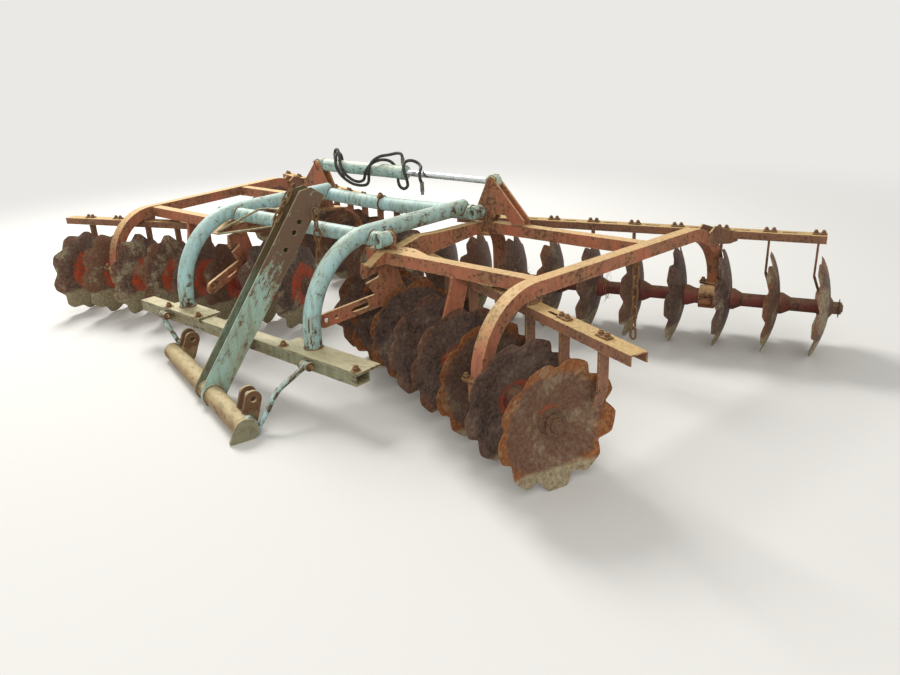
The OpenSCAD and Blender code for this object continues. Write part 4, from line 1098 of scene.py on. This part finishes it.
@dataclass
class NotchedDiscs:
    """Dished discs with U-shaped notches between wide lobes, worn and a little bent."""

    radius: float = 0.255
    sphere: float = 0.5554
    flat: float = 0.058
    thick: float = 0.006
    notches: int = 9
    notch_r: float = 0.028
    notch_at: float = 0.249
    corner: dict[Side, float] = field(default_factory=lambda: {Side.LEFT: 7.5, Side.RIGHT: 4.5})
    wider: dict[Side, float] = field(default_factory=lambda: {Side.LEFT: 0.003, Side.RIGHT: 0.0})
    spokes: int = 252
    rings: tuple[float, ...] = (0.030, 0.058, 0.095, 0.130, 0.165, 0.198)
    band: float = 0.010
    rim_share: float = 0.18
    bent_from: float = 0.150
    chipped_from: float = 0.212
    chips: int = 7
    opens: dict[Row, int] = field(default_factory=lambda: {Row.FRONT: 1, Row.REAR: -1})

    def rim(self, side: Side, angle: float) -> float:
        """Radius of the sharp outline.

        Args:
            side: the wing, as the two wings' discs are worn differently.
            angle: from the middle of a lobe, in degrees.

        Returns:
            The radius there.
        """
        pitch = 360 / self.notches
        off = math.radians((angle % pitch) - pitch / 2)
        notch_r = self.notch_r + self.wider[side]
        across = self.notch_at * math.sin(off)
        if abs(across) >= notch_r:
            return self.radius
        return min(self.radius, self.notch_at * math.cos(off) - math.sqrt(notch_r ** 2 - across ** 2))

    def worn_rim(self, side: Side, angle: float) -> float:
        """Radius of the outline with its corners worn round."""
        near = [self.rim(side, angle + self.corner[side] * k / 5) for k in range(-5, 6)]
        return sum(near) / len(near)

    def dish(self, r: float) -> float:
        """Depth of the sphere at a radius."""
        return self.sphere - math.sqrt(self.sphere ** 2 - r * r)

    def shell(self, side: Side) -> bpy.types.Object:
        """Models one disc.

        Args:
            side: the wing it is for.

        Returns:
            The model on the X axis, its open side to +X and a lobe straight down.
        """
        disc = primitive(bpy.ops.mesh.primitive_circle_add, vertices=self.spokes, radius=1.0,
                         fill_type="NOTHING")
        last = len(self.rings) + 1
        with editing(disc):
            for _ in range(last):
                bpy.ops.mesh.extrude_edges_move()
                bpy.ops.transform.translate(value=(0, 0, 1))
        edge = disc.vertex_groups.new(name="edge")
        for vertex in disc.data.vertices:
            ring = round(vertex.co.z)
            angle = math.degrees(math.atan2(vertex.co.y, vertex.co.x))
            rim = self.worn_rim(side, angle)
            r = self.rings[ring] if ring < len(self.rings) else rim - self.band * (last - ring)
            turn = math.radians(angle)
            lift = max(0.0, self.dish(r) - self.dish(self.flat))
            vertex.co = (lift, r * math.sin(turn), -r * math.cos(turn))
            edge.add([vertex.index], self.rim_share if ring == last else 1.0, "REPLACE")
        plate = disc.modifiers.new("plate", "SOLIDIFY")
        plate.thickness = self.thick
        plate.offset = 0.0
        plate.use_even_offset = False
        plate.use_rim = True
        plate.vertex_group = edge.name
        bpy.ops.object.modifier_apply(modifier=plate.name)
        with editing(disc):
            bpy.ops.mesh.normals_make_consistent(inside=False)
        disc.select_set(True)
        bpy.ops.object.shade_smooth_by_angle(angle=math.radians(40))
        start_clean()
        return disc

    def worn(self, model: bpy.types.Object, chance: random.Random) -> bpy.types.Mesh:
        """Copies the disc, turns it on its square shaft, and wears and bends its rim.

        Args:
            model: the new disc.
            chance: the seeded source of its wear.

        Returns:
            The worn disc's mesh.
        """
        data = model.data.copy()
        data.transform(turned(chance.choice((0, 1, 2, 3)) * math.pi / 2, "X"))
        bends = [(chance.uniform(0, math.tau), chance.uniform(0.4, 1.0) * size, waves)
                 for waves, size in ((2, 0.0022), (3, 0.0016), (5, 0.0012))]
        chips = [(chance.uniform(0, math.tau), chance.uniform(0.10, 0.30), chance.uniform(0.002, 0.007))
                 for _ in range(self.chips)]
        for vertex in data.vertices:
            r = math.hypot(vertex.co.y, vertex.co.z)
            if r < self.bent_from:
                continue
            angle = math.atan2(vertex.co.z, vertex.co.y)
            out = ((r - self.bent_from) / (self.radius - self.bent_from)) ** 2
            vertex.co.x += out * sum(size * math.sin(waves * angle + phase) for phase, size, waves in bends)
            if r > self.chipped_from:
                loss = sum(deep * math.exp(-(math.remainder(angle - at, math.tau) / wide) ** 2)
                           for at, wide, deep in chips)
                keep = 1 - loss * (r - self.chipped_from) / (self.radius - self.chipped_from) / r
                vertex.co.y *= keep
                vertex.co.z *= keep
        return data

    def build(self, made: Made) -> None:
        """Builds the four rows of discs in place of their solids."""
        models = {side: self.shell(side) for side in Side}
        for side, row, gang in GANGS:
            chance = random.Random(31 + 7 * side.value + len(row.value))
            pieces = []
            for k in range(GANG_DISCS[row]):
                place = gang_matrix(side, row) @ moved(-k * DISC_PITCH, 0, 0)
                opened = place @ Matrix.Diagonal((self.opens[row], 1, 1, 1))
                pieces.append(linked("disc", put(self.worn(models[side], chance), opened)))
            discs = joined(pieces, f"{gang}_notched_discs")
            dressed(discs, f"{gang}_gang", made[f"{gang}_disc_steel"])
            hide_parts(f"{gang}_discs")
        discard(*models.values())


@dataclass
class ScraperFastenings:
    """Washer plates and nuts that hold each scraper's post to its bar."""

    plate: Point = (0.064, 0.034, 0.005)
    nut: Point = (0.0115, 0.0092, 0.00575)
    posts: dict[Row, int] = field(default_factory=lambda: {Row.FRONT: 6, Row.REAR: 9})
    first: dict[Row, Point] = field(default_factory=lambda: {
        Row.FRONT: (0.080, 0.172, 0.310), Row.REAR: (-0.080, 0.150, 0.325)})

    def build(self, made: Made) -> None:
        """Builds the fastenings of all four bars."""
        length, _, thick = self.plate
        seats = [(m * length * 0.27, 0, thick) for m in (-1, 1)]
        plate = nutted_plate(self.plate, thick / 2, thick * 0.4, thick * 0.15, thick * 0.2, self.nut, seats)
        for side, row, gang in GANGS:
            place = gang_matrix(side, row)
            x, y, z = self.first[row]
            posts = [place @ moved(x - k * DISC_PITCH, y, z) for k in range(self.posts[row])]
            clamps = copies(plate, posts, f"{gang}_scraper_clamps")
            dressed(clamps, f"{side.word}_wing", made["bolt_rust"])
        discard(plate)


@dataclass
class BearingBolts:
    """Bolts through the flanges of the split bearing housings, and a plate under each arch's foot."""

    stations: dict[Row, tuple[float, ...]] = field(default_factory=lambda: {
        Row.FRONT: (1.5, 3.5, 5.5), Row.REAR: (2.5, 7.5)})
    along: float = 0.016
    across: float = 0.071
    half_flange: float = 0.013
    nut: Point = (0.0145, 0.012, 0.008)
    head: Point = (0.0145, 0.010, 0.0)
    foot: Point = (0.112, 0.112, 0.012)
    foot_nut: Point = (0.0135, 0.012, 0.009)
    foot_legs: dict[Row, float] = field(default_factory=lambda: {Row.FRONT: -0.090, Row.REAR: 1.595})
    foot_z: float = 0.3154
    foot_seats: tuple[Point, ...] = tuple((x, y, 0.008) for x in (-0.043, 0.043) for y in (-0.043, 0.043))

    def build(self, made: Made) -> None:
        """Builds the bolts of every housing and the foot plates."""
        nut, head = hex_nut(*self.nut), hex_nut(*self.head)
        foot = nutted_plate(self.foot, 0.002, 0.006, 0.001, 0.002, self.foot_nut, self.foot_seats)
        for side, row, gang in GANGS:
            holes = [(dx - at * DISC_PITCH, y) for at in self.stations[row]
                     for dx in (-self.along, self.along) for y in (-self.across, self.across)]
            place = gang_matrix(side, row)
            leg = arch_matrix(side) @ moved(0, self.foot_legs[row], self.foot_z)
            pieces = [copies(nut, [place @ moved(*hole, self.half_flange) for hole in holes]),
                      copies(head, [place @ moved(*hole, -self.half_flange) @ DOWN for hole in holes]),
                      copies(foot, [leg])]
            bolts = joined(pieces, f"{gang}_bearing_bolts")
            dressed(bolts, f"{side.word}_wing", made["bolt_rust"])
        discard(nut, head, foot)


@dataclass
class GangEnds:
    """A lock nut on each end of every gang's shaft."""

    nut: Point = (0.031, 0.010, 0.006)
    seat: float = 0.0432

    def build(self, made: Made) -> None:
        """Builds the lock nuts of the four gangs."""
        nut = hex_nut(*self.nut)
        for side, row, gang in GANGS:
            place = gang_matrix(side, row)
            inner = -(GANG_DISCS[row] - 1) * DISC_PITCH - self.seat
            ends = [place @ moved(x, 0, 0) @ turn for x, turn in ((self.seat, OUT), (inner, IN))]
            nuts = copies(nut, ends, f"{gang}_lock_nuts")
            dressed(nuts, f"{gang}_gang", made["bare_shaft"])
        discard(nut)


@dataclass
class FrameWelds:
    """Weld beads of the centre frame and the wings."""

    bead: float = 0.0045
    main_r: float = 0.041
    main_z: float = 0.722
    foot: Point = (0.530, -0.048, 0.2655)
    crossings: tuple[tuple[int, float, tuple[float, float], float, float], ...] = (
        (11, 0.5372, (0.337, 0.700), 0.0375, 1.0), (12, 0.550, (1.025, 0.6965), 0.0405, 1.030))
    beams: tuple[float, ...] = (0.362, 1.104)
    beam_z: float = 0.616
    beam_half: float = 0.029
    arch_half: float = 0.0302
    seams: tuple[tuple[float, float, float, int, float], ...] = (
        *((y, *run) for y in (1.076, 1.088, 1.126)
          for run in ((0.650, 0.705, 22, 1.0), (0.835, 0.903, 23, 1.0))),
        *((y, 0.594, 0.672, 24, 0.8) for y in (0.380, 0.3915)))

    def saddle(
        self, sign: int, x_mid: float, centre: tuple[float, float], r: float, y_most: float,
    ) -> list[Point]:
        """Where a cross tube meets the side of a main tube.

        Args:
            sign: 1 for the outer side, -1 for the inner.
            x_mid: x of the main tube's axis.
            centre: y and z of the cross tube's axis.
            r: radius of the cross tube.
            y_most: the line stops here, where the main tube ends.

        Returns:
            Points of the line, in the harrow's frame.
        """
        line = []
        for k in range(61):
            turn = math.radians(-90 - 6 * k)
            y, z = centre[0] + r * math.cos(turn), centre[1] + r * math.sin(turn)
            room = self.main_r ** 2 - (z - self.main_z) ** 2
            if room > 0 and y <= y_most:
                line.append(cal(x_mid + sign * math.sqrt(room), y, z))
        return line

    def face_x(self, y: float) -> float:
        """x of an arch's inner face at a given y."""
        x, y_foot = ARCH_FOOT
        return x + (y - y_foot) * math.tan(ARCH_SPLAY) - self.arch_half / math.cos(ARCH_SPLAY)

    def build(self, made: Made) -> None:
        """Builds the beads, one piece for each body."""
        centre = []
        foot_x, foot_y, foot_z = self.foot
        for m in (-1, 1):
            ring = weld_ring(self.main_r + 0.001, self.bead, 3 + m)
            ring.data.transform(moved(*cal(m * foot_x, foot_y, foot_z)))
            centre.append(ring)
            for sign in (-1, 1):
                for seed, *crossing in self.crossings:
                    line = [(m * x, y, z) for x, y, z in self.saddle(sign, *crossing)]
                    centre.append(weld_path(line, self.bead, seed))
        dressed(joined(centre, "centre_welds"), "centre_frame", made["weld_scale"])
        low, top = self.beam_z - self.beam_half, self.beam_z + self.beam_half
        for side in Side:
            wing = []
            for beam in self.beams:
                ahead, behind = beam - self.beam_half, beam + self.beam_half
                loop = [cal(side.value * self.face_x(y), y, z)
                        for y, z in ((ahead, low), (behind, low), (behind, top), (ahead, top))]
                wing.append(weld_path(loop, self.bead, 21, True))
            for y, start, end, seed, share in self.seams:
                seam = [cal(side.value * x, y, top) for x in (start, end)]
                wing.append(weld_path(seam, self.bead * share, seed))
            dressed(joined(wing, f"{side.word}_wing_welds"), f"{side.word}_wing", made["weld_scale"])


@dataclass
class HingePins:
    """Nuts on the fold hinges, and bent split pins in the cylinder's pins."""

    nut: Point = (0.026, 0.014, 0.010)
    eye_r: float = 0.007
    wire_r: float = 0.0022
    leg_r: float = 0.0020
    hinge_backs: tuple[float, ...] = (0.392, 1.138)
    apex: tuple[float, float] = (0.700, 0.856)
    pin_faces: tuple[tuple[float, float], ...] = ((1.068, 0.5), (1.146, -0.3))

    def split_pin(self) -> bpy.types.Object:
        """Bends a split pin.

        Returns:
            The model: an eye at +Y and two legs bent apart, lying in the XY plane.
        """
        eye = primitive(bpy.ops.mesh.primitive_torus_add, major_segments=20, minor_segments=8,
                        major_radius=self.eye_r, minor_radius=self.wire_r, location=(0, 0.026, 0))
        legs = [weld_path([(x, 0.020, 0), (x, -0.020, 0), tip], self.leg_r, seed)
                for x, tip, seed in ((0.0015, (0.010, -0.030, 0), 1), (-0.0015, (-0.009, -0.032, 0), 2))]
        return joined([eye, *legs], "split_pin")

    def build(self, made: Made) -> None:
        """Builds the nuts and pins of both wings."""
        nut = hex_nut(*self.nut)
        pin = self.split_pin()
        x, z = self.apex
        for side in Side:
            flip = flipped(side)
            backs = [flip @ moved(*cal(HINGE[0], y, HINGE[1])) @ BACK for y in self.hinge_backs]
            pieces = [copies(nut, backs)]
            for y, turn in self.pin_faces:
                pieces.append(copies(pin, [flip @ moved(*cal(x, y, z)) @ turned(turn, "Y") @ BACK]))
            dressed(joined(pieces, f"{side.word}_hinge_nuts"), f"{side.word}_wing", made["bolt_rust"])
        discard(nut, pin)


@dataclass
class CentreFastenings:
    """Nuts on the foot plates and the drag links' pins, the rear cross tube's clamp, and two thin rods."""

    nut: Point = (0.016, 0.013, 0.010)
    link_nut: Point = (0.0135, 0.010, 0.006)
    plates: tuple[tuple[float, float], ...] = ((-0.636, -0.286), (0.368, 0.921))
    plate_edge: float = 0.030
    plate_y: float = -0.118
    plate_top: float = 0.265
    lug: Point = (0.600, -0.158, 0.229)
    lug_half: float = 0.030
    band: tuple[float, float] = (0.0425, 0.0055)
    clamp: Point = (-0.049, 1.0107, 0.6860)
    clamp_bolt: Point = (-0.049, 0.998, 0.728)
    rod_r: float = 0.0055
    rods: tuple[tuple[Point, ...], ...] = (
        ((-0.498, 0.180, 0.632), (-0.300, 0.300, 0.742), (-0.260, 0.304, 0.757), (-0.150, 0.285, 0.775),
         (0.130, 0.245, 0.800)),
        ((-0.498, 0.176, 0.620), (-0.120, 0.292, 0.684), (0.090, 0.235, 0.716)),
    )

    def build(self, made: Made) -> None:
        """Builds the nuts, the clamp and the rods."""
        nut, small = hex_nut(*self.nut), hex_nut(*self.link_nut)
        band = weld_ring(*self.band, 5)
        seats = [moved(*cal(x, self.plate_y, self.plate_top)) for low, high in self.plates
                 for x in (low + self.plate_edge, high - self.plate_edge)]
        x, y, z = self.lug
        ends = [moved(*cal(m * x + dx, y, z)) @ turn for m in (-1, 1)
                for turn, dx in ((OUT, self.lug_half), (IN, -self.lug_half))]
        nuts = joined([copies(nut, seats), copies(small, ends)], "foot_plate_nuts")
        dressed(nuts, "centre_frame", made["bolt_rust"])
        clamp = joined([copies(band, [moved(*cal(*self.clamp)) @ OUT]),
                        copies(nut, [moved(*cal(*self.clamp_bolt)) @ AHEAD])], "cross_tube_clamp")
        dressed(clamp, "centre_frame", made["bolt_rust"])
        rods = [weld_path([cal(*p) for p in rod], self.rod_r, 7, wobble=0.05) for rod in self.rods]
        dressed(joined(rods, "stay_rods"), "centre_frame", made["bar_enamel"])
        discard(nut, small, band)


@dataclass
class HeadstockDetails:
    """Weld rings on the tube, and links of the chain that hangs over the mast's top."""

    rings: tuple[float, ...] = (0.571, 0.139, 0.021)
    tube_r: float = 0.0475
    bead: float = 0.004
    ground: float = 0.0005
    link: tuple[float, float, float] = (0.070, 0.038, 0.005)
    hung: tuple[Point, ...] = (
        (-0.052, -0.050, 0.860), (-0.054, -0.052, 0.909), (-0.053, -0.049, 0.958), (-0.052, -0.046, 1.007),
        (-0.040, -0.064, 0.885), (-0.038, -0.066, 0.934), (-0.040, -0.065, 0.983), (-0.042, -0.063, 1.026))

    def chain_link(self) -> bpy.types.Object:
        """Forges one link.

        Returns:
            The model, long along Z, its hole along Y.
        """
        length, width, wire = self.link
        link = primitive(bpy.ops.mesh.primitive_torus_add, major_segments=28, minor_segments=10,
                         major_radius=width / 2 - wire, minor_radius=wire, rotation=(math.pi / 2, 0, 0))
        stretch = length / 2 - width / 2
        for vertex in link.data.vertices:
            vertex.co.z += stretch if vertex.co.z > 0 else -stretch
        return bevelled(link, 0.0002, 1, 89)

    def build(self, made: Made) -> None:
        """Builds the rings, which the ground cuts off, and the chain."""
        ring = weld_ring(self.tube_r, self.bead, 9)
        rings = copies(ring, [head_matrix() @ moved(x, 0, 0) @ OUT for x in self.rings], "headstock_welds")
        with editing(rings):
            bpy.ops.mesh.bisect(plane_co=(0, 0, self.ground), plane_no=(0, 0, 1), use_fill=True,
                                clear_inner=True)
        dressed(rings, "headstock", made["weld_scale"])
        link = self.chain_link()
        places = [mast_matrix() @ moved(*at) @ turned(math.radians(90 * (k % 2) + 45), "Z")
                  for k, at in enumerate(self.hung)]
        dressed(copies(link, places, "mast_top_chain"), "headstock", made["chain_rust"])
        discard(ring, link)


@dataclass
class DryGrass:
    """Straw-coloured stalks wound round the spools between the discs."""

    strands: dict[tuple[Side, Row], tuple[tuple[int, int], ...]] = field(default_factory=lambda: {
        (Side.RIGHT, Row.FRONT): ((1, 70), (2, 110), (3, 80), (5, 24)),
        (Side.LEFT, Row.FRONT): ((1, 18), (4, 26)),
        (Side.RIGHT, Row.REAR): ((4, 22), (6, 16)),
        (Side.LEFT, Row.REAR): ((3, 20), (7, 24)),
    })
    width: float = 0.0022
    spans: int = 8

    def strand(self, work: bmesh.types.BMesh, x: float, chance: random.Random) -> None:
        """Adds one stalk wound round a spool.

        Args:
            work: the mesh that it goes into.
            x: the spool's middle along the shaft.
            chance: the seeded source of its shape.
        """
        turn = chance.uniform(0, math.tau)
        sweep = chance.uniform(0.8, 3.4) * chance.choice((-1, 1))
        reach = chance.uniform(0.040, 0.060)
        lift = chance.uniform(0.0, 0.060)
        start = x + chance.choice((-1, 1)) * chance.uniform(0.052, 0.078)
        drift = chance.uniform(-0.010, 0.010)
        shaft = Vector((1, 0, 0))
        rings = []
        for k in range(self.spans + 1):
            s = k / self.spans
            r = reach + lift * s ** 2
            angle = turn + sweep * s
            middle = Vector((start + drift * s, r * math.cos(angle), r * math.sin(angle)))
            side = shaft.cross(middle).normalized() * 0.3 + shaft
            out = Vector((0, middle.y, middle.z)).normalized()
            half = self.width * (1 - 0.6 * s) / 2
            rings.append([work.verts.new(middle + way * half) for way in (-side, side, out)])
        for a, b in zip(rings, rings[1:]):
            for k in range(3):
                work.faces.new((a[k], a[(k + 1) % 3], b[(k + 1) % 3], b[k]))
        work.faces.new(rings[0][::-1])
        work.faces.new(rings[-1])

    def build(self, made: Made) -> None:
        """Builds the tangles of each gang."""
        for (side, row), spools in self.strands.items():
            chance = random.Random(50 + 2 * side.value + len(row.value))
            work = bmesh.new()
            for spool, count in spools:
                for _ in range(count):
                    self.strand(work, -(spool + 0.5) * DISC_PITCH, chance)
            bmesh.ops.recalc_face_normals(work, faces=work.faces)
            data = bpy.data.meshes.new("grass")
            work.to_mesh(data)
            work.free()
            gang = f"{side.word}_{row.value}"
            dressed(linked(f"{gang}_dry_grass", put(data, gang_matrix(side, row))), f"{gang}_gang",
                    made["dry_straw"])


FINISH_OF_SLOT = {
    "centre_paint": "centre_enamel",
    "bar_paint": "bar_enamel",
    "headstock_rust": "headstock_rust",
    "mast_paint": "mast_enamel",
    "wing_paint": "wing_oxide",
    "scraper_rust": "scraper_rust",
    "spool_iron": "spool_enamel",
    "shaft_steel": "bare_shaft",
    "chain_rust": "chain_rust",
    "barrel_paint": "barrel_enamel",
    "rod_chrome": "rod_chrome",
    "hose_rubber": "hose_rubber",
    "coupler_steel": "zinc_fitting",
}


def dress_nodes(frame: dict, made: Made) -> None:
    """Gives every solid its finish.

    Args:
        made: material by finish name.
    """
    slots = {part["node"]: part["material_slot"] for part in frame["record"]["subparts"]}
    for name, obj in frame["nodes"].items():
        finish = FINISH_OF_SLOT.get(slots[name], name.replace("_discs", "_disc_steel"))
        obj.data.materials.clear()
        obj.data.materials.append(made[finish])
    LOG.info("dressed %d solids", len(frame["nodes"]))


def main() -> None:
    """Builds the studio and the harrow in order."""
    logging.basicConfig(level=logging.INFO, format="%(message)s")
    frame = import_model()
    bpy.ops.object.select_all(action="DESELECT")
    Studio().build()
    made = finishes()
    CylinderHoses().build(made)
    dress_nodes(frame, made)
    for part in (NotchedDiscs(), ScraperFastenings(), BearingBolts(), GangEnds(), FrameWelds(), HingePins(),
                 CentreFastenings(), HeadstockDetails(), DryGrass()):
        part.build(made)


if __name__ == "__main__":
    main()
